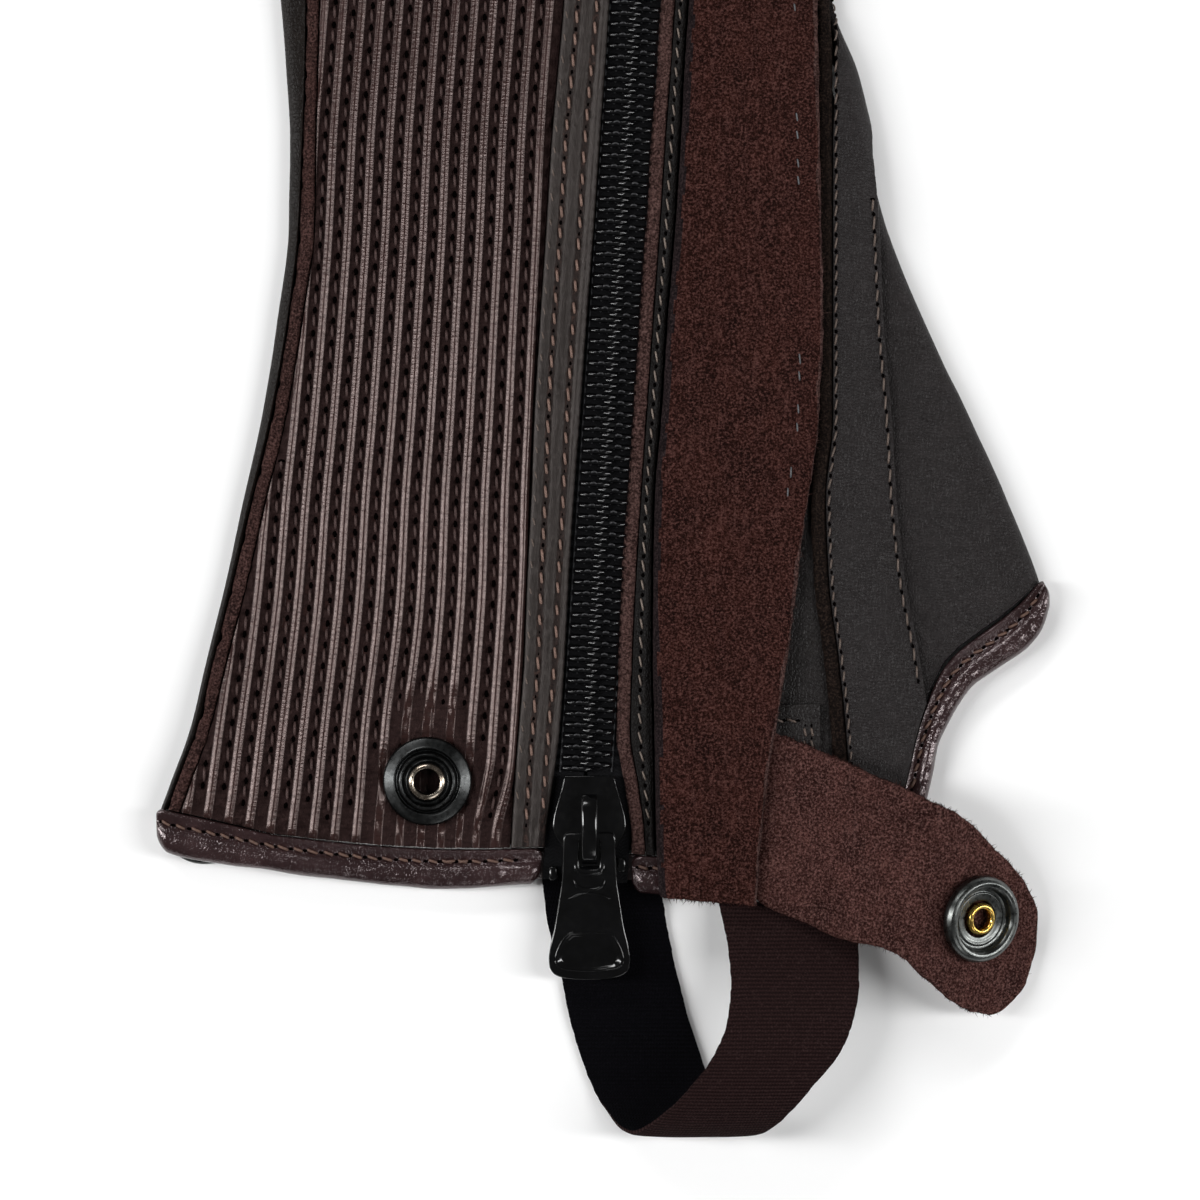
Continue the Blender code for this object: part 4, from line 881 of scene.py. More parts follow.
TAN = thread_look("thread_tan", (0.092, 0.051, 0.037), (0.24, 0.148, 0.116))
COPPER = thread_look("thread_copper", (0.060, 0.030, 0.021), (0.155, 0.084, 0.060))
OLIVE = thread_look("thread_facing", (0.10, 0.075, 0.060), (0.27, 0.215, 0.180))
DARK_THREAD = thread_look("thread_dark", (0.036, 0.0200, 0.0185), (0.086, 0.053, 0.049), Specular_IOR_Level=0.20)
SEAM_THREAD = thread_look("thread_seam", (0.055, 0.038, 0.030), (0.145, 0.105, 0.085))
GREY_THREAD = thread_look("thread_grey", (0.060, 0.062, 0.066), (0.15, 0.155, 0.165))
ZIP_THREAD = thread_look("thread_zip", (0.0055, 0.0055, 0.0065), (0.026, 0.026, 0.030), 0.55)
# painted shade: the needle holes get a near-black, unlit colour that stands in for the shade inside them
k = Look("needle_hole_painted_shade", (0.0015, 0.0010, 0.0010), 1.0, Specular_IOR_Level=0.0)
HOLE_SHADE = k.mat

# ---- zip tape: fine herringbone weave
k = Look("zip_tape_woven", (0.003, 0.003, 0.0035), 0.9, Specular_IOR_Level=0.15)
space = k.space()
x, y, z = k.parts(space)
weave = k.math("MULTIPLY", k.math("SINE", k.math("MULTIPLY", k.math("ADD", y, k.math("MULTIPLY", k.math("PINGPONG", x, 1.2), 0.8)), 9.0)),
               k.math("SINE", k.math("MULTIPLY", x, 10.5)))
weave = k.span(weave, -1.0, 1.0)
k.color(k.mix(weave, (0.0010, 0.0010, 0.0012), (0.0065, 0.0065, 0.0078)))
k.bump(weave, 0.12)
TAPE = k.mat

# ---- nylon coil, black lacquer, plated snaps
k = Look("zip_coil_nylon", (0.002, 0.002, 0.0023), 0.18, IOR=1.53)
space = k.space()
k.color(k.mix(k.noise(space, 2.5), (0.0011, 0.0011, 0.0013), (0.0030, 0.0030, 0.0035)))
k.roughness(k.span(k.noise(space, 1.1), 0.3, 0.7, 0.13, 0.24))
COIL = k.mat

k = Look("zip_lacquer", (0.002, 0.002, 0.0022), 0.12)
space = k.space()
k.color(k.mix(k.span(k.noise(space, 6.0, 4.0), 0.4, 0.7), (0.0011, 0.0011, 0.0012), (0.0028, 0.0028, 0.0031)))
k.roughness(k.span(k.noise(space, 1.4, 4.0), 0.3, 0.75, 0.08, 0.20))
k.bump(k.noise(space, 1.8, 2.0), 0.02)
LACQUER = k.mat

k = Look("gunmetal_plate", (0.10, 0.105, 0.10), 0.28, 1.0)
space = k.space()
scratch = k.noise(k.space(scale=(1000.0, 90.0, 1000.0)), 0.5, 3.0, 0.7)
k.color(k.mix(k.span(k.noise(space, 3.0, 4.0), 0.35, 0.7), (0.060, 0.064, 0.062), (0.13, 0.135, 0.13)))
k.roughness(k.math("ADD", k.span(k.noise(space, 0.8, 4.0), 0.3, 0.75, 0.20, 0.36), k.math("MULTIPLY", scratch, 0.05)))
k.bump(scratch, 0.006)
GUNMETAL = k.mat

k = Look("stud_dark_plate", (0.040, 0.041, 0.041), 0.34, 1.0)
space = k.space()
k.color(k.mix(k.span(k.noise(space, 2.4, 4.0), 0.35, 0.7), (0.024, 0.025, 0.025), (0.062, 0.064, 0.064)))
k.roughness(k.span(k.noise(space, 0.8, 4.0), 0.3, 0.75, 0.24, 0.40))
k.bump(k.noise(space, 1.2, 3.0), 0.008)
STUD = k.mat

k = Look("steel_worn_rim", (0.36, 0.32, 0.27), 0.22, 1.0)
space = k.space()
k.color(k.mix(k.noise(space, 1.6, 3.0), (0.18, 0.12, 0.075), (0.50, 0.46, 0.40)))
k.roughness(k.span(k.noise(space, 0.7, 3.0), 0.3, 0.7, 0.14, 0.32))
RIM = k.mat

k = Look("brass_eyelet", (0.78, 0.50, 0.12), 0.2, 1.0)
space = k.space()
k.color(k.mix(k.span(k.noise(space, 1.1, 3.0), 0.35, 0.7), (0.50, 0.29, 0.05), (0.90, 0.64, 0.20)))
k.roughness(k.span(k.noise(space, 0.6, 3.0), 0.3, 0.7, 0.13, 0.3))
BRASS = k.mat


# ---- elastic webbing: UV is (millimetres across, millimetres along)
def webbing(name, warp, weft, dark):
    k = Look(name, warp, 0.95, Specular_IOR_Level=0.06)
    uv = k.space("UV", (1.0, 1.0, 1.0))
    space = k.space()
    u, v, _ = k.parts(uv)
    cell = k.noise(space, 0.35, 2.0)
    rows = k.span(k.math("SINE", k.math("ADD", k.math("MULTIPLY", v, 2 * math.pi / 0.86), k.math("MULTIPLY", cell, 1.1))), -1, 1)
    lines = k.span(k.math("SINE", k.math("ADD", k.math("MULTIPLY", u, 2 * math.pi / 0.62), k.math("MULTIPLY", k.math("FLOOR", k.math("DIVIDE", v, 0.86)), math.pi))), -1, 1)
    cloth = k.math("MULTIPLY", k.math("ADD", k.math("MULTIPLY", rows, 0.75), 0.25), k.math("ADD", k.math("MULTIPLY", lines, 0.55), 0.45))
    base = k.mix(cloth, dark, warp)
    base = k.mix(k.math("MULTIPLY", k.span(k.noise(space, 0.5, 3.0), 0.55, 0.8), 0.6), base, weft)
    k.color(base)
    k.bump(cloth, 0.34)
    k.bump(k.noise(space, 0.25, 2.0), 0.08)
    return k.mat


ELASTIC = webbing("elastic_outer", (0.0290, 0.0140, 0.0138), (0.056, 0.032, 0.031), (0.0030, 0.0012, 0.0012))
ELASTIC_IN = webbing("elastic_inner", (0.0022, 0.0019, 0.0034), (0.0050, 0.0045, 0.0068), (0.0008, 0.0008, 0.0012))


# =====================================================================  folds: cloth that turns under at an edge
def fold(s, edge, side, z_in, t):
    """x, z and the outward normal's x, z on the inner face of cloth that turns under."""
    r = (z_in - T_UNDER) / 2
    c = edge - side * (r + t)
    a = np.clip(s / r, 0.0, math.pi)
    x = c + side * (r * np.sin(a) + np.minimum(s, 0.0)) - side * np.maximum(s - math.pi * r, 0.0)
    z = T_UNDER + r + r * np.cos(a)
    return x, z, side * np.sin(a), np.cos(a)


def along(x, edge, side, z_in, t):
    r = (z_in - T_UNDER) / 2
    d = side * (x - edge) + r + t
    return np.where(d <= 0, d, r * np.arcsin(np.clip(d / (r + t), 0.0, 1.0)))


R_IN = (Z_UPPER - T_UNDER) / 2
BACK_TURN = math.pi * R_IN
FRONT_UNDER = 8.0
R_OVER = (Z_OVERLAY - T_UNDER) / 2
OVER_TURN = math.pi * R_OVER
UNDER_REACH = FRONT_UNDER - (R_OVER + T_LEATHER) - GAP
ROWS = heights()


def normals_xz(nx, nz):
    return np.stack([nx, 0 * nx, nz], -1)


# =====================================================================  the inner side: on the surface, turned up round the back fold
def back_s(x, y):
    return along(x, leg("back", y), -1, Z_UPPER, T_LEATHER)


def inner_at(U, Y):
    first = back_s(leg("strip_out", Y), Y)
    start = np.maximum(first + 0.05, 0.0)
    right = BACK_TURN + (np.minimum(leg("front", Y), 88.6) - FRONT_UNDER - (leg("back", Y) + R_IN + T_LEATHER))
    s = np.where(
        U < 1, first + U * (start - first),
        np.where(U < 2, start + (U - 1) * (BACK_TURN - start), BACK_TURN + (U - 2) * (right - BACK_TURN)),
    )
    return fold(s, leg("back", Y), -1, Z_UPPER, T_LEATHER)


def inner_low(x, U):
    return np.where(U < 1.3, upper_edge(x), under_edge(x))


us = np.concatenate([[0.0, 0.5], np.linspace(1, 2, 11), 2 + np.linspace(0, 1, 41)[1:]])[::-1]
x, z, nx, nz, y, U = solve(inner_at, us, heights(1.6, 4.0), inner_low)
P = stack(x, y, z)
INNER_CREASES = (
    # the hidden side creases like the side that shows: across the ankle and up from the instep
    (-58.0, 196.0, -6.0, 188.0, 3.0, -0.16), (-60.0, 174.0, -22.0, 168.0, 2.4, -0.22), (-58.0, 150.0, 4.0, 141.0, 3.2, -0.18),
    (-52.0, 128.0, -18.0, 131.0, 2.2, -0.14), (12.0, 206.0, 44.0, 196.0, 2.6, -0.20), (8.0, 176.0, 40.0, 182.0, 2.2, -0.16),
    (22.0, 118.0, 60.0, 78.0, 3.4, -0.26), (34.0, 92.0, 70.0, 58.0, 2.6, -0.22), (-64.0, 92.0, -30.0, 84.0, 2.6, -0.12),
    (52.0, 44.0, 72.0, 66.0, 2.4, -0.18), (-30.0, 232.0, 14.0, 240.0, 4.0, -0.12), (-74.0, 246.0, -48.0, 240.0, 2.6, -0.15),
)
dent = np.minimum(creases(x, y, INNER_CREASES), 0.0) + np.where(nz < -0.98, np.minimum(0.05 * rough(x, y, 14.0, 4), 0.0), 0.05 * rough(x, y, 8.0, 4))
shell("inner_panel_cloth", P, normals_xz(nx, nz), T_LEATHER + dent, INNER, rests_on=[])

# =====================================================================  the raw suede strip of the back seam
def ragged(edge, y, amount=0.16, seed=11):
    return edge + amount * rough(y, 0 * y, 1.7, seed, 3) + amount * 0.8 * noise(y, 0 * y, 9.0, seed + 5)


def strip_at(U, Y):
    first = back_s(leg("strip_out", Y), Y) - GAP
    last = back_s(leg("strip_in", Y), Y)
    s = first + U * (last - first)
    s = s - np.where(U < 0.01, 0.5 * np.clip(noise(Y, 0 * Y, 2.2, 21) - 0.15, 0, 1), 0) + np.where(U > 0.99, 0.14 * rough(Y, 0 * Y, 1.3, 22), 0)
    return fold(s, leg("back", Y), -1, Z_UPPER, T_LEATHER)


us = np.linspace(1, 0, 9)
x, z, nx, nz, y, U = solve(strip_at, us, heights(0.8, 2.4), lambda x, U: upper_edge(x))
nap = 0.14 * rough(x, y, 1.3, 31) + 0.10 * noise(x, y, 5.0, 33) - 0.25 * (np.abs(U - 0.5) * 2) ** 6
order = np.argsort(x[0])
P, N, nap = stack(x, y, z)[:, order], normals_xz(nx, nz)[:, order], nap[:, order]
shell("back_edge_strip_cloth", P, N, T_STRIP + nap, RAW_BACK, rests_on=["inner_panel_cloth"])

# =====================================================================  the ribbed stretch panel
RIB_COUNT = 27
PHASES = np.array([-0.5, -0.385, -0.305, -0.245, -0.205, -0.155, -0.105, -0.055, 0.0, 0.055, 0.105, 0.155, 0.205, 0.245, 0.305, 0.385])
STITCH_PITCH = 4.4
HOLE_SHIFT = {n: 2.2 * (_hash(n, 3, 91) + 1) for n in range(-2, RIB_COUNT + 3)}


def rib_swing(x, y):
    """The ribs bend round the stud: how far they are pushed to the left above it and to the right below."""
    dx, dy = x - STUD_X, y - STUD_Y
    near = np.exp(-((dx / 15.0) ** 2)) * np.exp(-(((dy - 10.0) / 13.0) ** 2))
    left = -0.9 * near * np.where(dx < 1.0, 1.0, 0.35)
    low = -2.4 * np.exp(-(((dx - 13.0) / 7.5) ** 2)) * ramp(y, 26.0, 8.0)
    return left + low


def rib_at(U, Y):
    left, right = leg("strip_in", Y) + GAP, leg("band_l", Y) - GAP
    x = leg("rib", Y) - U * leg("pitch", Y)
    x = x + rib_swing(x, Y) * ramp(Y, 62.0, 44.0)
    x = np.where(U <= us_min + 1e-6, right, np.where(U >= us_max - 1e-6, left, x))
    return np.clip(x, left, right), 0 * x


us = np.concatenate([k + PHASES for k in range(-1, RIB_COUNT)])
us_min, us_max = us[0], us[-1]
us = us[::-1]
x, z, y, U = solve(rib_at, us, heights(0.86, 2.9, 180.0), lambda x, U: upper_edge(x))
left, right = leg("strip_in", y) + GAP, leg("band_l", y) - GAP
# the place on the ribs is read back from x, so that a rib cut off by the edge keeps its section
swing = rib_swing(x, y) * ramp(y, 62.0, 44.0)
F = (leg("rib", y) - (x - swing)) / leg("pitch", y)
off = np.abs(F - np.round(F))
cord_h = np.clip(1 - (off / 0.245) ** 1.7, 0.0, 1.0) ** 0.56
valley = np.floor(F).astype(int)
hole_shift = np.vectorize(lambda n: HOLE_SHIFT.get(int(n), 0.0))(valley)
t = (y - hole_shift) / STITCH_PITCH
hole = np.abs(t - np.round(t)) * STITCH_PITCH
deep = np.clip((off - 0.26) / 0.14, 0, 1)
pucker = 0.20 * np.cos(2 * math.pi * t) * -1
side = np.sign(F - np.floor(F) - 0.5)
stud_far = np.hypot(x - STUD_X, y - STUD_Y)
# ribs stop above the stud, and the leather below and right of it is gathered in small pleats
below = ramp(y, 22.0, 15.0) * ramp(np.abs(x - STUD_X + 0.5), 13.5, 9.0)
above = ramp(stud_far, 11.6, 9.4) + 0.85 * ramp(y, 40.0, 33.5) * ramp(np.abs(x - STUD_X), 8.0, 5.5) * ramp(y, 20.0, 24.0)
right_low = 0.55 * ramp(y, 15.0, 8.0) * ramp(x, -26.0, -20.0)
keep = 1 - np.clip(above + below + right_low, 0, 1)
end_fade = ramp(y - upper_edge(x), 0.0, 0.7)
rise = 1.12 * cord_h * (0.88 + 0.10 * noise(y, np.round(F) * 9.0, 13.0, 41)) * keep * (0.55 + 0.45 * end_fade)
rise = rise + deep * (pucker + 0.10 * rough(x, y, 1.5, 44) - 0.50 * np.exp(-((hole / 0.75) ** 2))) * keep
rise = rise + (1 - keep) * (0.42 + 0.42 * rough(x * 1.3, y, 2.6, 47) + 0.12 * np.sin(1.9 * x + 1.1 * y + 1.5 * noise(x, y, 6.0, 49)))
rise = rise - 0.5 * ramp(stud_far, 10.2, 9.0)
edge_dip = 0.45 * (ramp(x - left, 0.9, 0.0) + ramp(right - x, 0.9, 0.0))
wave = 0.10 * noise(x, y, 30.0, 51)
P = stack(x, y, Z_UPPER + 0 * x)
thick = np.maximum(T_STRIP + rise - edge_dip * 0.6 + wave, 0.45)
panel = shell("stretch_panel_cloth", P, up_like(P), thick, RIBBED, uv=np.stack([F, y], -1), back="ngon", rests_on=["inner_panel_cloth"], round_edge=False, sharp=70)
# the channels between the cords are duller than the cords
mesh = panel.data
mesh.materials.append(RIBBED_LOW)
coords = np.empty(len(mesh.loops) * 2, np.float32)
mesh.uv_layers[0].data.foreach_get("uv", coords)
starts = np.empty(len(mesh.polygons), np.int32)
mesh.polygons.foreach_get("loop_start", starts)
totals = np.empty(len(mesh.polygons), np.int32)
mesh.polygons.foreach_get("loop_total", totals)
share = np.add.reduceat(coords[0::2].astype(float), starts) / totals
mesh.polygons.foreach_set("material_index", (np.abs(share - np.round(share)) > 0.222).astype(np.int32))
mesh.update()

# the stitch row in each channel
rows = Threads(5, 5)
ys = np.arange(PANEL_TOP - 2, 6.0, -1.0)
for n in range(-1, RIB_COUNT):
    Fm = n + 0.5
    xs = leg("rib", ys) - (Fm - 0.06) * leg("pitch", ys)
    xs = xs + rib_swing(xs, ys) * ramp(ys, 62.0, 44.0)
    ok = (xs > leg("strip_in", ys) + 1.3) & (xs < leg("band_l", ys) - 1.0) & (ys > upper_edge(xs) + 1.4)
    far = np.hypot(xs - STUD_X, ys - STUD_Y)
    ok &= (far > 11.5) & ~((ys < 20) & (np.abs(xs - STUD_X + 0.5) < 11))
    if ok.sum() < 6:
        continue
    zs = Z_UPPER + T_STRIP + 0.05 + lift(xs, ys) + 0.10 * noise(xs, ys, 30.0, 51)
    runs = np.split(np.arange(len(ys)), np.where(np.diff(ok.astype(int)) != 0)[0] + 1)
    for run in runs:
        if not ok[run[0]] or len(run) < 6:
            continue
        path = np.stack([xs[run], ys[run], zs[run]], -1)
        # stitches lie between the holes
        first = (path[0, 1] - HOLE_SHIFT[n]) / STITCH_PITCH
        rows.row(path, UP, STITCH_PITCH, 2.5, 0.30, bow=0.26, slant=0.10, phase=first % 1.0 + (0.5 if first % 1.0 < 0.5 else -0.5), sink=0.34, jitter=0.10, seed=60 + n, holes=0)
rows.make("rib_stitches", DARK_THREAD, "leather_ribs")

# =====================================================================  the zip band, left of the zip
def stitch_groove(x, y, line_x, pitch, phase, width=0.75, depth=0.20, pull=0.12):
    d = (x - line_x) / width
    t = (y - phase) / pitch
    return -np.exp(-d * d) * (depth + pull * np.cos(2 * math.pi * t))


def band_at(U, Y):
    a, b = leg("band_l", Y), leg("band_r", Y) - 0.15
    return a + U * (b - a), 0 * U * Y


BAND_1 = lambda y: leg("band_l", y) + 2.7 + 0.0 * y
BAND_2 = lambda y: leg("band_l", y) + 2.7 + (3.8 - 0.6 * ramp(y, 120.0, 20.0))
us = np.concatenate([[0, 0.02], np.linspace(0.05, 0.95, 32), [0.98, 1.0]])
x, z, y, U = solve(band_at, us, heights(0.7, 2.2), lambda x, U: upper_edge(x))
P = stack(x, y, Z_ON_TAPE + 0 * x)
edge = np.minimum(U, 1 - U)
form = 0.16 * (1 - np.exp(-edge / 0.06)) + 0.10 * noise(x, y, 11.0, 71) + 0.06 * rough(x, y, 2.6, 72)
form = form + stitch_groove(x, y, BAND_1(y), 4.3, 1.0, 0.62, 0.30, 0.18) + stitch_groove(x, y, BAND_2(y), 4.3, 2.6, 0.62, 0.30, 0.18)
form = form + 0.34 * np.exp(-(((leg("band_r", y) - 1.15 - x) / 0.62) ** 2)) * (1 + 0.35 * noise(x, y, 9.0, 74))
mid = (BAND_1(y) + BAND_2(y)) / 2
form = form + 0.16 * np.exp(-(((x - mid) / 1.1) ** 2)) * (1 + 0.5 * noise(x, y, 3.4, 73)) - 0.22 * np.exp(-edge / 0.03)
shell("zip_band_cloth", P, up_like(P), T_LEATHER + form, BAND, uv=np.stack([x - BAND_1(y), x - BAND_2(y)], -1), rests_on=["zip_tape_back_cloth"])

tan = Threads(6, 7)
ys = np.arange(PANEL_TOP - 2, 8.0, -1.0)
for line, ph, seed in ((BAND_1, 0.4, 81), (BAND_2, 0.9, 82)):
    xs = line(ys)
    ok = ys > upper_edge(xs) + 0.8
    path = np.stack([xs, ys, Z_ON_TAPE + T_LEATHER - 0.06 + lift(xs, ys)], -1)[ok]
    tan.row(path, UP, 4.3, 2.5, 0.27, bow=0.22, slant=0.16, phase=ph, sink=0.38, jitter=0.07, seed=seed)
tan.make("band_stitches", TAN, "leather_smooth")
side = Threads(5, 5)
xs = leg("band_l", ys) + 0.62
path = np.stack([xs, ys, Z_ON_TAPE + T_LEATHER - 0.05 + lift(xs, ys)], -1)[ys > upper_edge(xs) + 1.5]
side.row(path, UP, 4.6, 1.9, 0.17, bow=0.18, slant=0.30, phase=0.6, sink=0.34, jitter=0.16, seed=83, holes=None)
side.make("band_edge_stitches", SEAM_THREAD, "leather_smooth")

# =====================================================================  zip tapes
def tape_grid(a, b, low):
    us = np.linspace(0, 1, 9)
    return solve(lambda U, Y: (a(Y) + U * (b(Y) - a(Y)), 0 * Y), us, heights(3.0, 6.0, low=-0.6), lambda x, U: low + 0 * x)


for name, a, b, low in (
    ("zip_tape_back", lambda y: zip_x(y) - TAPE_HALF + (TAPE_HALF - 7.2) * ramp(y, 18.0, 10.0), lambda y: zip_x(y) - 0.4, 0.4),
    ("zip_tape_front", lambda y: zip_x(y) + 0.4, lambda y: zip_x(y) + TAPE_HALF + (9.6 - TAPE_HALF) * ramp(y, 18.0, 10.0), -0.4),
):
    x, z, y, U = tape_grid(a, b, low)
    P = stack(x, y, Z_TAPE + 0 * x)
    shell(name + "_cloth", P, up_like(P), T_TAPE + 0.02 * noise(x, y, 2.0, 5), TAPE, rests_on=["inner_panel_cloth"])

# =====================================================================  the coil: two nylon spirals whose heads mesh on the zip's line
COIL_PITCH = 2.18
tooth_path = curve_through([
    (2.2, 0.10, 0.35), (3.9, 0.16, 0.40), (4.62, 0.06, 0.80), (4.45, -0.05, 1.40), (3.5, -0.10, 1.78), (2.2, -0.08, 1.80),
    (0.9, -0.02, 1.72), (-0.10, 0.0, 1.74), (-0.62, 0.04, 1.42), (-0.45, 0.06, 1.02), (0.3, 0.08, 0.80),
], 17)
tooth_r = np.interp(np.linspace(0, 1, 17), [0, 0.3, 0.55, 0.68, 0.75, 0.85, 1.0], [0.44, 0.48, 0.44, 0.52, 0.62, 0.56, 0.38])
tv, tf = tube(tooth_path, tooth_r, 8)
top, low = PANEL_TOP - 8.0, CHAIN_END_Y
count = int((top - low) / COIL_PITCH)
ys = low + 0.6 + COIL_PITCH * np.arange(count)
tilt = -math.atan(ZIP_SLOPE)
heap = Heap()
base = np.stack([zip_x(ys), ys, Z_ON_TAPE + 0 * ys], -1)
mirror_v = tv * np.array([-1, 1, 1])
heap.add(mirror_v, [f[::-1] for f in tf], base, tilt)
half_up = base.copy()
half_up[:, 1] += COIL_PITCH / 2
half_up[:, 0] = zip_x(half_up[:, 1])
heap.add(tv, tf, half_up, tilt)
heap.make("zip_chain_coil", COIL, "zip_coil", replaces=["zip_chain"])
# the sewing threads that hold each turn to the tape, and a thread line along each outer side
heap = Heap()
arc = curve_through([(3.05, -0.62, 1.15), (2.85, -0.10, 1.95), (2.45, 0.24, 2.30), (2.0, 0.26, 2.30), (1.6, -0.02, 2.05), (1.4, -0.52, 1.30)], 9)
av, af = tube(arc, 0.20, 5)
heap.add(av * np.array([-1, 1, 1]), [f[::-1] for f in af], base, tilt)
heap.add(av, af, half_up, tilt)
for s in (-1, 1):
    yy = np.linspace(top, low, 60)
    # the row of machine stitches along the coil's outer side
    lv, lf = tube(np.stack([zip_x(yy) + s * 5.15, yy, Z_ON_TAPE - 0.22 + 0 * yy], -1), 0.22, 6)
    heap.add(lv, lf, [(0, 0, 0)])
heap.make("zip_chain_threads", ZIP_THREAD, "zip_coil")

# =====================================================================  raw edge and stitched facing, right of the zip
def edge_at(U, Y):
    a = leg("edge_l", Y)
    return ragged(a, Y, 0.14, 91) * (U < 0.01) + (U >= 0.01) * (a + U * 2.5) + (U > 0.99) * 0.10 * rough(Y, 0 * Y, 1.1, 93), 0 * Y


us = np.linspace(0, 1, 8)
x, z, y, U = solve(edge_at, us, heights(0.8, 2.4), lambda x, U: upper_edge(x))
P = stack(x, y, Z_ON_TAPE + 0 * x)
form = 0.12 * rough(x, y, 1.2, 95) + 0.10 * noise(x, y, 6.0, 96) - 0.32 * (np.abs(U - 0.55) * 2) ** 5
shell("zip_edge_strip_cloth", P, up_like(P), T_STRIP + form, RAW_EDGE, rests_on=["zip_tape_front_cloth"])


def facing_at(U, Y):
    a, b = leg("edge_l", Y) + 2.8, leg("flap_l", Y) - 0.4
    return a + U * (b - a), 0 * U * Y


us = np.linspace(0, 1, 9)
x, z, y, U = solve(facing_at, us, heights(0.9, 2.6), lambda x, U: upper_edge(x))
P = stack(x, y, Z_ON_TAPE + 0 * x)
wide = leg("flap_l", y) - 0.4 - leg("edge_l", y) - 2.8
form = stitch_groove(x, y, leg("edge_l", y) + 2.8 + 0.42 * wide, 3.8, 0.7, 0.55, 0.22, 0.12) + 0.08 * noise(x, y, 7.0, 97) - 0.30 * ramp(U, 0.72, 1.0)
shell("zip_facing_cloth", P, up_like(P), T_LEATHER + form, FACING, rests_on=["zip_tape_front_cloth"])
olive = Threads(6, 6)
ys = np.arange(PANEL_TOP - 2, 7.0, -1.0)
wide = leg("flap_l", ys) - 0.4 - leg("edge_l", ys) - 2.8
xs = leg("edge_l", ys) + 2.8 + 0.42 * wide
path = np.stack([xs, ys, Z_ON_TAPE + T_LEATHER - 0.10 + 0 * ys], -1)
olive.row(path, UP, 3.8, 2.3, 0.20, bow=0.20, slant=0.24, phase=0.5, sink=0.34, jitter=0.06, seed=98)
olive.make("facing_stitches", OLIVE, "leather_smooth")

# =====================================================================  front: leg panel, seam strip, front panel, gusset
def leg_left(y):
    return np.maximum(zip_x(y) + TAPE_HALF + GAP, leg("flap_l", y))


def leg_right(y):
    return np.minimum(np.minimum(leg("seam1", y) + 8.0, leg("front", y) - 6.2), leg("seam2", y) - 4.2)


us = np.linspace(0, 1, 26)
x, z, y, U = solve(lambda U, Y: (leg_left(Y) + U * (leg_right(Y) - leg_left(Y)), 0 * Y), us, heights(1.8, 4.0), lambda x, U: upper_edge(x))
P = stack(x, y, Z_UPPER + 0 * x)
LEG_CREASES = (
    (30.0, 112.0, 45.0, 104.0, 2.0, -0.20), (36.0, 78.0, 41.0, 52.0, 1.6, -0.24), (33.0, 62.0, 43.0, 57.0, 1.2, -0.14),
    (22.0, 152.0, 40.0, 146.0, 2.4, -0.14), (24.0, 208.0, 40.0, 214.0, 2.4, -0.16),
)
form = np.maximum(creases(x, y, LEG_CREASES), -0.3) + 0.07 * noise(x, y, 9.0, 101)
shell("leg_panel_cloth", P, up_like(P), T_LEATHER + np.minimum(form, 0.12), SMOOTH, rests_on=["inner_panel_cloth"])


def over_s(x, y):
    return along(x, leg("front", y), 1, Z_OVERLAY, T_LEATHER)


def front_strip_at(U, Y):
    a, b = over_s(leg("seam1", Y), Y), over_s(leg("seam1", Y) + 2.6, Y)
    s = a + U * (b - a) - np.where(U < 0.01, 0.10 + 0.16 * rough(Y, 0 * Y, 1.4, 103), 0.0)
    return fold(s, leg("front", Y), 1, Z_OVERLAY, T_LEATHER)


us = np.linspace(0, 1, 8)
x, z, nx, nz, y, U = solve(front_strip_at, us, heights(0.8, 2.4), lambda x, U: upper_edge(x))
form = 0.12 * rough(x, y, 1.2, 105) + 0.08 * noise(x, y, 6.0, 106) - 0.30 * (np.abs(U - 0.5) * 2) ** 5
shell("front_edge_strip_cloth", stack(x, y, z, False), normals_xz(nx, nz), T_STRIP + form, RAW_DARK, rests_on=["leg_panel_cloth"])


def over_right(y):
    seam = over_s(leg("seam2", y) + 1.0, y)
    return seam + (OVER_TURN + UNDER_REACH - seam) * ramp(y, 153.0, 172.0)


def front_at(U, Y):
    """U runs 0 to 1 across the flat, 1 to 2 round the fold and 2 to 3 under the leg."""
    first = over_s(leg("seam1", Y) + 2.6, Y) + GAP + 0.6 * ramp(Y, 148.0, 160.0) * ramp(Y, 200.0, 184.0)
    last = over_right(Y)
    flat = first + U * np.maximum(np.minimum(last, 0.0) - first, 0.0)
    turn = np.maximum((U - 1) * OVER_TURN, first + 0.04 * (U - 1))
    under = OVER_TURN + (U - 2) * (last - OVER_TURN)
    s = np.where(U <= 1, flat, np.where(U <= 2, turn, under))
    return fold(np.minimum(s, last), leg("front", Y), 1, Z_OVERLAY, T_LEATHER)


FRONT_CREASES = (
    (50.0, 150.0, 58.0, 128.0, 2.4, -0.16), (52.0, 118.0, 56.5, 96.0, 2.0, -0.14), (48.0, 84.0, 58.0, 76.0, 2.2, -0.12),
    (52.0, 52.0, 64.0, 44.0, 1.8, -0.14), (46.0, 250.0, 56.0, 243.0, 2.6, -0.18), (48.0, 216.0, 52.0, 204.0, 2.0, -0.20),
    (52.0, 320.0, 58.0, 312.0, 2.4, -0.14), (56.0, 30.0, 61.0, 22.0, 1.4, -0.12),
)
us = np.concatenate([np.linspace(0, 1, 17), np.linspace(1, 2, 13)[1:], [2.5, 3.0]])
x, z, nx, nz, y, U = solve(front_at, us, heights(1.3, 3.2), lambda x, U: upper_edge(x))
s1 = leg("seam1", y) + 3.4
s2 = leg("seam2", y)
on_top = (nz > 0.6).astype(float)
form = np.minimum(creases(x, y, FRONT_CREASES), 0.1) * np.where(nz < -0.9, 0.4, 1.0) + 0.04 * rough(x, y, 7.0, 111) * on_top
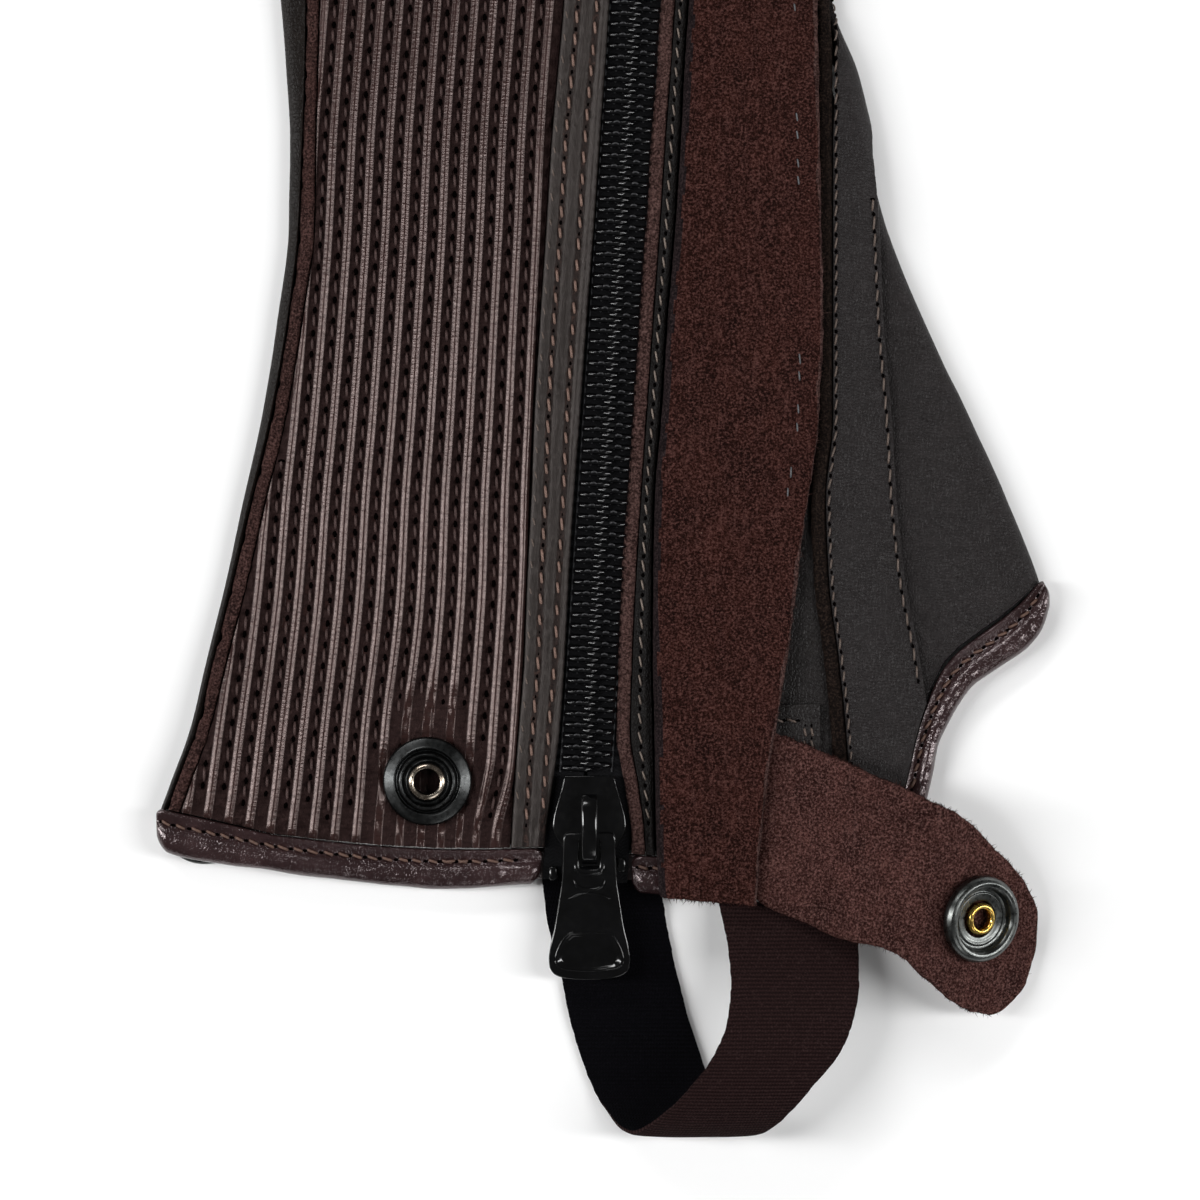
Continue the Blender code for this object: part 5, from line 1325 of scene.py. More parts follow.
form = form + on_top * (stitch_groove(x, y, s1, 3.9, 0.4, 0.6, 0.20, 0.10) + stitch_groove(x, y, s2, 4.1, 1.2, 0.65, 0.24, 0.10) * (y < 156))
form = np.where(nz < -0.95, np.minimum(form, 0.0), form)
shell("front_panel_cloth", stack(x, y, z, False), normals_xz(nx, nz), T_LEATHER - 0.03 + form, GRAIN, rests_on=["leg_panel_cloth"], wide=0.024)


def gusset_edge(y):
    return leg("front", y) - 2.4 * ramp(y, 104.0, 134.0)


def gusset_at(U, Y):
    edge = gusset_edge(Y)
    left = np.minimum(along(leg("seam2", Y) - 3.5, edge, 1, Z_UPPER, T_LEATHER), along(edge - 3.0, edge, 1, Z_UPPER, T_LEATHER))
    reach = BACK_TURN + FRONT_UNDER - (R_IN + T_LEATHER) - GAP - (leg("front", Y) - edge)
    s = np.where(U <= 1, left * (1 - U), np.where(U <= 2, (U - 1) * BACK_TURN, BACK_TURN + (U - 2) * (reach - BACK_TURN)))
    return fold(s, edge, 1, Z_UPPER, T_LEATHER)


def gusset_low(x, U):
    return np.where(U >= 1.7, under_edge(x), upper_edge(x) + 0.6)


GUSSET_TOP = 144.0
us = np.concatenate([np.linspace(0, 1, 62), np.linspace(1, 2, 12)[1:], np.linspace(2, 3, 4)[1:]])
hs = np.linspace(GUSSET_TOP, 14.0, 210)
x, z, nx, nz, y, U = solve(gusset_at, us, hs, gusset_low, top=GUSSET_TOP)
GUSSET_CREASES = (
    (64.6, 63.0, 70.6, 54.0, 0.8, -0.34), (70.6, 54.0, 76.0, 48.6, 0.7, -0.30), (63.6, 70.0, 71.0, 53.5, 1.9, 0.22), (67.0, 74.0, 82.0, 60.0, 1.2, -0.20), (62.5, 56.0, 68.0, 44.5, 0.8, -0.26),
    (60.5, 96.0, 74.0, 84.0, 2.4, -0.18), (72.0, 96.0, 82.0, 72.0, 2.6, 0.14), (64.0, 112.0, 70.0, 96.0, 2.0, -0.14), (66.0, 38.5, 71.0, 46.0, 1.0, -0.24),
)
top_side = nz > -0.5
form = np.where(top_side, creases(x, y, GUSSET_CREASES) + 0.06 * rough(x, y, 6.0, 121), np.minimum(creases(x, y, GUSSET_CREASES, seed=9) * 0.5, 0.0))
shell("instep_gusset_cloth", stack(x, y, z, False), normals_xz(nx, nz), T_LEATHER - 0.03 + form, GRAIN, rests_on=["inner_panel_cloth"])

seams = Threads(6, 6)
ys = np.arange(PANEL_TOP - 3, 8.0, -0.8)
s = over_s(leg("seam1", ys) + 3.4, ys)
fx, fz, fnx, fnz = fold(s, leg("front", ys), 1, Z_OVERLAY, T_LEATHER)
path = np.stack([fx + fnx * (T_LEATHER - 0.05), ys, fz + fnz * (T_LEATHER - 0.12)], -1)
ok = (ys > upper_edge(path[:, 0]) + 1.0)
seams.row(path[ok], normals_xz(fnx, fnz)[ok], 3.2, 2.2, 0.20, bow=0.18, slant=-0.20, phase=0.5, sink=0.34, jitter=0.06, seed=131)
ys = np.arange(155.0, 24.0, -0.8)
xs = leg("seam2", ys)
path = np.stack([xs, ys, Z_OVERLAY + T_LEATHER - 0.12 + 0 * ys], -1)
ok = (ys > upper_edge(xs) + 1.2) & (xs < leg("front", ys) - 3.6)
seams.row(path[ok], UP, 3.6, 2.6, 0.21, bow=0.18, slant=-0.14, phase=0.3, sink=0.34, jitter=0.06, seed=133)
seams.make("seam_stitches", SEAM_THREAD, "leather_smooth")

# =====================================================================  the cover flap, turned back with its suede up
def flap_low(x):
    return -3.0 - 0.09 * (x - 12.0)


def flap_root(y):
    return Z_FLAP_ROOT + 0.9 * ramp(y, 16.0, 8.0)


def flap_limb(y):
    return Z_FLAP + (Z_FLAP_ON_TAB - Z_FLAP) * ramp(y, 58.0, 38.0)


def flap_at(U, Y):
    """U: 0 to 1 the root, 1 to 2 round the turn, 2 to 3 the limb on top."""
    low, high = flap_root(Y) + T_FLAP, flap_limb(Y)
    r = (high - low) / 2
    c = leg("flap_l", Y) + r + T_FLAP
    a = math.pi * np.clip(U - 1, 0, 1)
    right = leg("flap_r", Y) + np.where(U > 2.999, 0.28 * rough(Y, 0 * Y, 1.5, 141) + 0.2 * noise(Y, 0 * Y, 12.0, 143), 0.0)
    x = np.where(U <= 1, c + 4.6 * (1 - U), np.where(U <= 2, c - r * np.sin(a), c + (U - 2) * (right - c)))
    z = np.where(U <= 1, low, np.where(U <= 2, low + r - r * np.cos(a), high))
    return x, z, -np.sin(a) * (U <= 2) * (U > 1), np.where(U <= 1, -1.0, np.where(U >= 2, 1.0, -np.cos(a)))


us = np.concatenate([np.linspace(0, 1, 4), np.linspace(1, 2, 10)[1:], 2 + np.linspace(0, 0.95, 48)[1:], [2.962, 2.972, 2.982, 2.991, 3.0]])
flap_hs = heights(0.95, 3.2, low=-3.6)
x, z, nx, nz, y, U = solve(flap_at, us, flap_hs, lambda x, U: flap_low(x) + 0.25 * rough(x, 0 * x, 1.1, 147))
limb = ramp(U, 1.9, 2.1)
FLAP_CREASES = (
    (14.0, 96.0, 40.0, 92.0, 3.4, -0.22), (22.0, 78.0, 41.0, 83.0, 2.8, -0.18), (13.0, 58.0, 30.0, 55.0, 3.0, 0.16), (18.0, 132.0, 40.0, 126.0, 3.8, -0.16),
    (16.0, 40.0, 34.0, 46.0, 2.6, -0.16), (20.0, 160.0, 38.0, 166.0, 4.2, 0.14), (26.0, 214.0, 42.0, 206.0, 4.0, -0.2), (24.0, 262.0, 44.0, 270.0, 4.0, -0.18),
    (30.0, 330.0, 50.0, 322.0, 4.4, -0.16), (14.0, 18.0, 28.0, 14.0, 2.4, -0.12),
)
form = limb * (creases(x, y, FLAP_CREASES) + 0.14 * noise(x, y, 10.0, 151)) + 0.10 * rough(x, y, 2.0, 152) + 0.07 * rough(x, y, 0.9, 153)
# the dents of a seam's stitches, which show through from the other side
dent_x = leg("flap_r", y) - 4.6
form = form - limb * 0.12 * np.exp(-(((x - dent_x) / 0.7) ** 2)) * (0.6 + 0.4 * np.cos(2 * math.pi * y / 4.2)) * (y < 340)
form = form - limb * 0.30 * ramp(U, 2.965, 3.0) + limb * 0.22 * np.exp(-(((U - 2.93) / 0.03) ** 2)) * 0.5
form = form - 0.30 * ramp(y - flap_low(x), 0.9, 0.0)
N = normals_xz(nx, nz)
lean = 0.55 * ramp(U, 2.55, 3.0) * (0.5 + 0.5 * noise(y, 0 * y, 26.0, 157)) * ramp(y, -10, 20)
P = stack(x, y, z + lean, False)
# grown from the suede's side, so the smooth face keeps its place
shell("zip_flap_cloth", P, N, T_FLAP + form, SUEDE, held="folded", rests_on=["front_panel_cloth", "snap_tab_cloth"])
# the cut edge on the right is paler than the nap; the suede where it turns under at the root, on the left, gets a
# darker, greyer colour as painted shade
mesh = bpy.data.objects["zip_flap_cloth"].data
mesh.materials.append(RAW_EDGE)
mesh.materials.append(SUEDE_FOLD_SHADE)
middle = np.empty(len(mesh.polygons) * 3, np.float32)
mesh.polygons.foreach_get("center", middle)
middle = middle.reshape(-1, 3).astype(float) / MM
cx, cy = middle[:, 0] + ORIGIN_X, middle[:, 1] + ORIGIN_Y
cut = cx > leg("flap_r", cy) - 0.42 - 0.45 * np.clip(noise(cy, 0 * cy, 7.0, 159), -0.6, 1)
turned = cx < leg("flap_l", cy) + 1.25 + 0.25 * noise(cy, 0 * cy, 3.0, 160)
mesh.polygons.foreach_set("material_index", np.where(turned, 2, cut.astype(int)).astype(np.int32))
mesh.update()

# here and there the seam's thread shows through the nap
through = Threads(5, 5)
ys = np.arange(300.0, 62.0, -1.0)
xs = leg("flap_r", ys) - 4.3
path = np.stack([xs, ys, flap_limb(ys) + T_FLAP + 0.10 + 0 * ys], -1)
for k in range(14):
    a = int(12 + 226 * (k + 0.4 * _hash(k, 4, 19)) / 14)
    if _hash(k, 8, 19) > -0.35:
        through.row(path[a:a + 10], UP, 3.6, 2.0, 0.16, bow=0.16, slant=0.12, phase=0.5, sink=0.34, jitter=0.2, seed=159 + k, holes=None)
through.make("flap_seam_thread", GREY_THREAD, "suede")

# =====================================================================  the tab's root patch and the snap tab
xs, ys = np.linspace(20.0, 43.8, 40), np.linspace(35.2, 8.0, 44)
X, Y = np.meshgrid(xs, ys)
form = -0.20 * np.exp(-(((Y - 32.0) / 0.6) ** 2)) - 0.18 * np.exp(-(((X - 43.8 + 2.2) / 0.5) ** 2)) + 0.10 * noise(X, Y, 5.0, 161) - 0.2 * ramp(Y, 34.6, 35.2)
P = np.stack([X, Y + 0.12 * rough(X, 0 * X, 1.6, 163) * (Y > 34.5), Z_OVERLAY + 0 * X], -1)
shell("tab_root_cloth", P, up_like(P), T_STRIP + form, SMOOTH, rests_on=["leg_panel_cloth"])
patch = Threads(6, 6)
patch.row(np.stack([np.linspace(26, 43.0, 60), np.full(60, 32.0), np.full(60, Z_OVERLAY + T_STRIP - 0.1)], -1), UP, 2.7, 2.0, 0.24, bow=0.2, slant=-0.3, seed=165)
for dx in (1.6, 3.0):
    patch.row(np.stack([np.full(40, 43.8 - dx), np.linspace(31.0, 12.0, 40), np.full(40, Z_OVERLAY + T_STRIP - 0.1)], -1), UP, 2.5, 1.8, 0.24, bow=0.2, slant=0.2, seed=167)
patch.make("tab_root_stitches", SEAM_THREAD, "leather_smooth")

index = np.arange(len(TAB_ROWS), dtype=float)
tab = {n: Line(index, column(TAB_COLUMNS, TAB_ROWS, n)) for n in TAB_COLUMNS}
t = np.interp(np.linspace(0, 1, 116), [0, 0.25, 1], [0, 3.2, len(TAB_ROWS) - 1.0])
w = np.concatenate([[0, 0.012], np.linspace(0.03, 0.97, 58), [0.988, 1.0]])
T, W = np.meshgrid(t, w)
X = tab["x_up"](T) + W * (tab["x_lo"](T) - tab["x_up"](T))
Y = tab["y_up"](T) + W * (tab["y_lo"](T) - tab["y_up"](T))
Z = tab["z"](T)
P = np.stack([X, Y, Z], -1)
du, dv = np.gradient(P, axis=1), np.gradient(P, axis=0)
N = np.cross(dv, du)
N /= np.maximum(np.linalg.norm(N, axis=-1, keepdims=True), 1e-9)
# soft corners at the tip, and a ragged outline
span = np.hypot(tab["x_up"](T) - tab["x_lo"](T), tab["y_up"](T) - tab["y_lo"](T))
out = np.stack([(tab["x_up"](T) - tab["x_lo"](T)) / span, (tab["y_up"](T) - tab["y_lo"](T)) / span], -1)
rag = 0.30 * rough(X * 1.0, Y, 1.2, 171) + 0.22 * noise(X, Y, 5.0, 173)
pushed = (ramp(W, 0.03, 0.0) - ramp(W, 0.97, 1.0)) * rag
X, Y = X + out[..., 0] * pushed, Y + out[..., 1] * pushed
last = ramp(T, len(TAB_ROWS) - 1.25, len(TAB_ROWS) - 1.0)
X, Y = X + last * 0.25 * rough(W * 5, 0 * W, 1.0, 175), Y + last * (0.25 * rough(W * 5, 0 * W, 1.0, 177) - 0.2)
P = np.stack([X, Y, Z], -1)
TAB_CREASES = (
    (44.0, 24.0, 50.0, -8.0, 2.6, -0.20), (53.0, 18.0, 60.0, -10.0, 2.2, 0.18), (60.0, 14.0, 66.0, 0.0, 1.8, -0.16), (47.0, 8.0, 62.0, 4.0, 2.2, 0.12),
)
form = creases(X, Y, TAB_CREASES) + 0.14 * rough(X, Y, 1.9, 181) + 0.09 * rough(X, Y, 0.8, 183) + 0.10 * noise(X, Y, 8.0, 185)
snap_d = np.hypot(X - SNAP_X, (Y - SNAP_Y))
form = form - 0.30 * ramp(snap_d, 9.6, 7.6)
form = form - 0.45 * (ramp(W, 0.02, 0.0) + ramp(W, 0.98, 1.0)) - 0.35 * ramp(T, len(TAB_ROWS) - 1.2, len(TAB_ROWS) - 1.0)
shell("snap_tab_cloth", P, N, T_TAB + form, SUEDE_TAB, rests_on=["tab_root_cloth"], held="laid")
tab_top = P + N * (T_TAB + form)[..., None]

# =====================================================================  fibres that stand out along the cut suede edges
spike = np.array([(0, 0, 0.0), (1, 0.06, 0), (-0.0, 0.10, 0.0), (0.05, 0.04, 0.10)], float)
SPIKE_FACES = [(0, 2, 1), (0, 1, 3), (1, 2, 3), (2, 0, 3)]


def fringe(name, points, outward, mat, density=5.0, length=0.75, spread=0.9, seed=201, body="chap"):
    """points (n, 3) along an edge and the direction that the fibres lean, both in the drawing."""
    points, outward = np.asarray(points, float), np.asarray(outward, float)
    s = np.concatenate([[0], np.cumsum(np.linalg.norm(np.diff(points, axis=0), axis=1))])
    n = int(s[-1] * density)
    rng = np.random.default_rng(seed)
    q = rng.uniform(0, s[-1], n)
    p = np.stack([np.interp(q, s, points[:, k]) for k in range(3)], -1)
    d = np.stack([np.interp(q, s, outward[:, k]) for k in range(3)], -1)
    d = d / np.maximum(np.linalg.norm(d, axis=1, keepdims=True), 1e-9) + rng.normal(0, spread * 0.5, (n, 3)) * np.array([1, 1, 0.5])
    d /= np.linalg.norm(d, axis=1, keepdims=True)
    long = length * rng.gamma(2.2, 0.42, n)
    p = p - d * 0.12 + rng.normal(0, 0.10, (n, 3)) * np.array([0.5, 0.5, 1.6])
    e = np.cross(d, np.array([0.0, 0.0, 1.0]) + rng.normal(0, 0.2, (n, 3)))
    e /= np.maximum(np.linalg.norm(e, axis=1, keepdims=True), 1e-9)
    f = np.cross(d, e)
    half = 0.075
    verts = np.stack([p - e * half - f * half, p + e * half - f * half, p + f * half * 1.4, p + d * long[:, None]], 1)
    k = np.arange(n)[:, None] * 4
    faces = np.concatenate([k + np.array([[0, 2, 1]]), k + np.array([[0, 1, 3]]), k + np.array([[1, 2, 3]]), k + np.array([[2, 0, 3]])]).tolist()
    obj = mesh_object(name, place(verts.reshape(-1, 3)), faces, mat, sharp=0)
    return finish_piece(obj, body)


def edge_line(at_u, ys, at, z_shift=0.6):
    out = at(np.full_like(ys, at_u)[None, :], ys[None, :])
    return np.stack([out[0][0], ys, out[1][0] + z_shift], -1)


ys = np.linspace(PANEL_TOP - 1, -2.0, 900)
line = edge_line(3.0, ys, flap_at, 0.75)
line[:, 2] += 0.4
fringe("flap_fringe_side", line, np.tile([1.0, 0.0, 0.35], (900, 1)), RAW_EDGE, 6.0, 0.40, 1.3, 203)
xs = np.linspace(12.6, 31.0, 200)
fringe("flap_fringe_end", np.stack([xs, flap_low(xs) + 0.1, Z_FLAP_ON_TAB + 0.75 + 0 * xs], -1), np.tile([0.0, -1.0, 0.0], (200, 1)), SUEDE, 16.0, 0.70, 1.0, 205)
up_edge = tab_top[0] * 0.6 + P[0] * 0.4
lo_edge = tab_top[-1] * 0.6 + P[-1] * 0.4
tip = tab_top[:, -1] * 0.6 + P[:, -1] * 0.4
start = 20
fringe("tab_fringe_upper", up_edge[start:], np.concatenate([out[0, start:], np.zeros((len(up_edge) - start, 1))], 1), SUEDE, 17.0, 0.46, 1.2, 207)
fringe("tab_fringe_lower", lo_edge[start:], -np.concatenate([out[-1, start:], np.zeros((len(lo_edge) - start, 1))], 1), SUEDE, 13.0, 0.42, 1.2, 209)
fringe("tab_fringe_tip", tip, np.tile([0.5, -0.86, 0.0], (len(tip), 1)), SUEDE, 20.0, 0.50, 1.2, 211)


# =====================================================================  bound edges: a folded strip round the cut edges
def resample(rows, step=0.7):
    """Rows (x_in, y_in, x_out, y_out) as smooth lines with points about step apart."""
    r = np.asarray(rows, float)
    mid = 0.5 * (r[:, :2] + r[:, 2:])
    s = np.concatenate([[0], np.cumsum(np.linalg.norm(np.diff(mid, axis=0), axis=1))])
    q = np.linspace(0, s[-1], max(int(s[-1] / step), 8))
    near = np.array([0.12, 0.35])
    q = np.sort(np.concatenate([q, near, s[-1] - near]))
    return np.stack([np.interp(q, s, r[:, k]) for k in range(4)], -1), q


def soften(a, n):
    for _ in range(n):
        b = a.copy()
        b[1:-1] = 0.25 * a[:-2] + 0.5 * a[1:-1] + 0.25 * a[2:]
        a = b
    return a


def binding(name, rows, section, mat, seed, ends="cap", replaces=None, smooth_n=12, step=0.7, rests_on=(), end_r=1.5):
    """section(s, line) gives arrays w (rows, points), z (rows, points) round the strip's section."""
    line, s = resample(rows, step)
    line = soften(line, smooth_n)
    w, z = section(s, line)
    # the turned-in ends are rounded off
    near = np.clip(np.minimum(s, s[-1] - s) / end_r, 0, 1)
    round_off = np.sqrt(1 - (1 - near) ** 2)[:, None]
    w = 0.34 + (w - 0.34) * (0.55 + 0.45 * round_off)
    middle = 0.5 * (z.max(1) + z.min(1))[:, None]
    z = middle + (z - middle) * (0.30 + 0.70 * round_off)
    x = line[:, 0:1] + w * (line[:, 2:3] - line[:, 0:1])
    y = line[:, 1:2] + w * (line[:, 3:4] - line[:, 1:2])
    z = z + lift(x, y)
    P = np.stack([x, y, z], -1)
    n, m = P.shape[:2]
    v = P.reshape(-1, 3)
    faces = []
    i = np.arange(n - 1)[:, None] * m
    j = np.arange(m)[None, :]
    k = (j + 1) % m
    q = np.stack([(i + j), (i + k), (i + m + k), (i + m + j)], -1).reshape(-1, 4)
    faces = q.tolist() + [list(range(m))[::-1], list((n - 1) * m + np.arange(m))]
    obj = mesh_object(name, place(v), faces, mat, sharp=60)
    bm = bmesh.new()
    bm.from_mesh(obj.data)
    bmesh.ops.recalc_face_normals(bm, faces=bm.faces)
    bm.to_mesh(obj.data)
    bm.free()
    finish_piece(obj, "chap", [name.replace("_cloth", "")] if replaces is None else replaces)
    girth = np.linalg.norm(np.diff(np.concatenate([P, P[:, :1]], 1), axis=1), axis=2).sum(1)
    length = float(s[-1]) * MM
    # a nearly closed mesh counts as two layers, so half its girth is the strip's width as folded
    wide = float(np.median(girth)) * MM / 2
    FLAT[name] = (round(wide, 4), round(length, 4), round(wide * length, 6))
    SHEETS[name] = (obj, wide, length, wide * length, "folded", list(rests_on))
    return P, s


def hem_section(low, high, seed, pitch=3.0, stitched=True, tube_rise=0.30, top_z=None):
    # w, and the share of the way from low to high, round the section from the inner bottom up and over
    ws = np.array([0.0, 0.0, 0.015, 0.05, 0.10, 0.16, 0.22, 0.28, 0.33, 0.38, 0.43, 0.50, 0.58, 0.66, 0.74, 0.82, 0.89, 0.945, 0.985, 1.0, 0.985, 0.94, 0.86, 0.74, 0.58, 0.35])
    hs = np.array([0.0, 0.72, 0.94, 1.03, 1.00, 0.90, 0.80, 0.74, 0.72, 0.77, 0.90, 1.02, 1.08, 1.10, 1.08, 1.01, 0.90, 0.75, 0.58, 0.42, 0.27, 0.13, 0.03, 0.0, 0.0, 0.0])
    top = (np.arange(len(ws)) >= 2) & (np.arange(len(ws)) <= 19)

    def section(s, line):
        S = s[:, None]
        W = np.broadcast_to(ws, (len(s), len(ws))).copy()
        H = np.broadcast_to(hs, W.shape).copy()
        z = low + (high - low) * H
        pull = np.cos(2 * math.pi * (S / pitch - 0.5))
        groove = np.exp(-(((W - 0.32) / 0.09) ** 2))
        tube_part = np.exp(-(((W - 0.70) / 0.26) ** 2))
        if stitched:
            z = z - top * groove * (0.10 + 0.10 * pull)
            z = z + top * 0.05 * np.exp(-(((W - 0.06) / 0.05) ** 2)) * (1 + pull)
        z = z + top * tube_part * (tube_rise * 0.4 + 0.26 * noise(S, W * 3, 11.0, seed) + 0.19 * noise(S, W * 5, 3.6, seed + 1) + 0.07 * pull)
        crease = np.zeros_like(z)
        for c in range(int(s[-1] / 9.0)):
            at = 4.5 + 9.0 * c + 3.6 * _hash(c, 2, seed)
            d = S - at - 1.6 * _hash(c, 5, seed) * (W - 0.6)
            crease += 0.16 * (0.4 + 0.6 * abs(_hash(c, 9, seed))) * np.exp(-((d / 0.5) ** 2)) * tube_part
        z = z - top * crease
        W = W + np.where(W > 0.8, 0.035 * noise(S, 0 * W, 7.0, seed + 3), 0.0)
        return W, z

    return section


edge_points = []
# the toe part ends round the front fold's corner
HEM_TOE_SHOWN = HEM_TOE_ROWS[:-1] + ((86.9, 58.9, 89.5, 54.8), (88.0, 60.3, 90.1, 56.6))
for name, rows, seed in (("hem_binding_heel", HEM_HEEL_ROWS, 301), ("hem_binding_toe", HEM_TOE_SHOWN, 311)):
    P, s = binding(name + "_cloth", rows, hem_section(2.5, 5.15, seed), BINDING, seed, rests_on=["hem_binding_inner_cloth"])
    edge_points.append((P, s))
inner_rows = []
for r in HEM_HEEL_ROWS + HEM_TOE_SHOWN:
    pull = 0.12
    inner_rows.append((r[0], r[1], r[2] + pull * (r[0] - r[2]), r[3] + pull * (r[1] - r[3])))


def inner_section(s, line):
    ws = np.array([0.0, 0.0, 0.03, 0.15, 0.35, 0.55, 0.75, 0.90, 0.97, 1.0, 0.97, 0.90, 0.72, 0.50, 0.28, 0.06])
    zs = np.array([0.10, 1.7, 2.05, 2.12, 2.12, 2.12, 2.08, 1.85, 1.5, 1.1, 0.7, 0.32, 0.05, 0.0, 0.0, 0.0])
    return np.broadcast_to(ws, (len(s), len(ws))).copy(), np.broadcast_to(zs, (len(s), len(zs))) + 0 * s[:, None]


binding("hem_binding_inner_cloth", inner_rows, inner_section, BINDING, 321, rests_on=[], step=1.2)

hem_threads = Threads(7, 8)
for (P, s), seed, ph in ((edge_points[0], 331, 0.35), (edge_points[1], 333, 0.35)):
    # the groove lies at 0.32 of the strip's width
    g = P[:, 7] * 0.35 + P[:, 8] * 0.65
    path = g + np.array([0, 0, 0.10])
    hem_threads.row(path[3:-3], UP, 3.0, 2.1, 0.30, bow=0.20, slant=-0.24, phase=ph, sink=0.36, jitter=0.14, seed=seed)
# the machine went over the seam's end twice
P = edge_points[0][0]
g = P[:, 8] * 0.8 + P[:, 9] * 0.2
sel = (g[:, 0] > -33) & (g[:, 0] < -22.4)
hem_threads.row(g[sel] + np.array([0, 0.25, 0.16]), UP, 2.9, 2.1, 0.30, bow=0.24, slant=0.1, phase=0.8, sink=0.36, jitter=0.1, seed=335)
hem_threads.make("hem_stitches", COPPER, "leather_binding")


def top_rows(a, b, n):
    xs = np.linspace(a, b, n)
    return [(x, Y_TOP - TOP_BINDING, x, Y_TOP) for x in xs]


for name, a, b, low, high, seed in (
    ("top_binding_back", leg("back", 416.0) + 0.4, leg("band_l", 416.0) - 1.0, 3.0, 5.6, 341),
    ("top_binding_front", leg("edge_l", 416.0), leg("front", 416.0) - 0.4, 3.0, 5.6, 343),
    ("top_binding_inner", leg("back", 416.0) + 0.4, leg("front", 416.0) - 0.4, 0.0, 2.15, 345),
):
    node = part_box(name)
    lo, hi = np.array(node[0]), np.array(node[1])
    x0, x1 = lo[0] / MM + ORIGIN_X, hi[0] / MM + ORIGIN_X
    z0, z1 = lo[2] / MM, hi[2] / MM
    rows_t = [(x, lo[1] / MM + ORIGIN_Y, x, hi[1] / MM + ORIGIN_Y) for x in np.linspace(x0 + 0.05, x1 - 0.05, 12)]
    section = inner_section if name == "top_binding_inner" else hem_section(z0, z1 - 0.3, seed)
    P, s = binding(name + "_cloth", rows_t, section, BINDING, seed, rests_on=[] if z0 < 0.1 else ["top_binding_inner_cloth"], step=1.0)
    if z0 > 0.1:
        th = Threads(6, 6)
        g = P[:, 7] * 0.35 + P[:, 8] * 0.65
        th.row(g[1:-1] + np.array([0, 0, 0.1]), UP, 3.0, 2.25, 0.32, bow=0.24, slant=-0.12, phase=0.4, sink=0.36, jitter=0.08, seed=seed)
        th.make(name + "_stitches", COPPER, "leather_binding")

# =====================================================================  the elastic foot strap
rows_s = np.asarray(((-11.6, 12.0, 0.3, 1.40),) + STRAP_ROWS, float)
mid = np.stack([0.5 * (rows_s[:, 0] + rows_s[:, 1]), rows_s[:, 2], rows_s[:, 3]], -1)
s = np.concatenate([[0], np.cumsum(np.linalg.norm(np.diff(mid, axis=0), axis=1))])
NROW, NCOL = 170, 34
q = np.linspace(0, s[-1], NROW)
lines = np.stack([Line(s, rows_s[:, k])(q) for k in range(4)], -1)
mid_y, mid_z = Line(s, rows_s[:, 2])(q), Line(s, rows_s[:, 3])(q)
mid_y, mid_z = np.interp(q, s, rows_s[:, 2]) * 0.4 + mid_y * 0.6, np.interp(q, s, rows_s[:, 3]) * 0.4 + mid_z * 0.6
mid_y, mid_z = soften(mid_y, 6), soften(mid_z, 6)
ty, tz = np.gradient(mid_y, q), np.gradient(mid_z, q)
run = np.hypot(ty, tz)
ny, nz = -tz / run, ty / run
w = np.linspace(0, 1, NCOL)
half = 0.65
X = lines[:, 0:1] + w * (lines[:, 1:2] - lines[:, 0:1])
fray = 0.10 * noise(q, 0 * q, 0.9, 351)
X[:, 0] -= fray
X[:, -1] += 0.10 * noise(q, 0 * q, 0.9, 353)
# it cups a little across, and ripples where it turns
cup = 0.35 * np.sin(math.pi * w)[None, :] * (ramp(q, 24, 40) * ramp(q, s[-1] - 12, s[-1] - 30))[:, None]
ripple = 0.12 * noise(q[:, None], w[None, :] * 18, 5.0, 355) * ramp(q, 8, 30)[:, None]
bump_h = cup + ripple
thin = half - 0.30 * (np.abs(w - 0.5) * 2)[None, :] ** 14
ends = np.ones((NROW, 1))
outer = np.stack([X, mid_y[:, None] + ny[:, None] * (thin + bump_h), mid_z[:, None] + nz[:, None] * (thin + bump_h)], -1)
inner = np.stack([X, mid_y[:, None] - ny[:, None] * (thin - bump_h), mid_z[:, None] - nz[:, None] * (thin - bump_h)], -1)
inner[..., 2] = np.maximum(inner[..., 2], 0.02)
outer[..., 2] = np.maximum(outer[..., 2], 0.05)
v = np.concatenate([outer.reshape(-1, 3), inner.reshape(-1, 3)])
uv_s = np.stack([w[None, :] * 25.0 + 0 * q[:, None], q[:, None] + 0 * w[None, :]], -1).reshape(-1, 2)
ring = border(NROW, NCOL)
nxt = np.roll(np.arange(len(ring)), -1)
f_out, f_in = quads(NROW, NCOL), quads(NROW, NCOL, NROW * NCOL, flip=True)
rim = np.stack([ring[nxt], ring, NROW * NCOL + ring, NROW * NCOL + ring[nxt]], 1)
face_mats = np.concatenate([np.zeros(len(f_out)), np.ones(len(f_in)), np.zeros(len(rim))])
obj = mesh_object("foot_strap_cloth", place(v), np.concatenate([f_out, f_in, rim]), None, np.concatenate([uv_s, uv_s]), 0.0, 60, [ELASTIC, ELASTIC_IN], face_mats)
bm = bmesh.new()
bm.from_mesh(obj.data)
bmesh.ops.recalc_face_normals(bm, faces=bm.faces)
bm.to_mesh(obj.data)
bm.free()
finish_piece(obj, "chap", ["foot_strap"])
FLAT["foot_strap_cloth"] = (0.025, round(float(s[-1]) * MM, 4), round(0.025 * float(s[-1]) * MM, 6))
SHEETS["foot_strap_cloth"] = (obj, 0.0255, float(s[-1]) * MM, 0.025 * float(s[-1]) * MM, "folded", ["hem_binding_inner_cloth"])

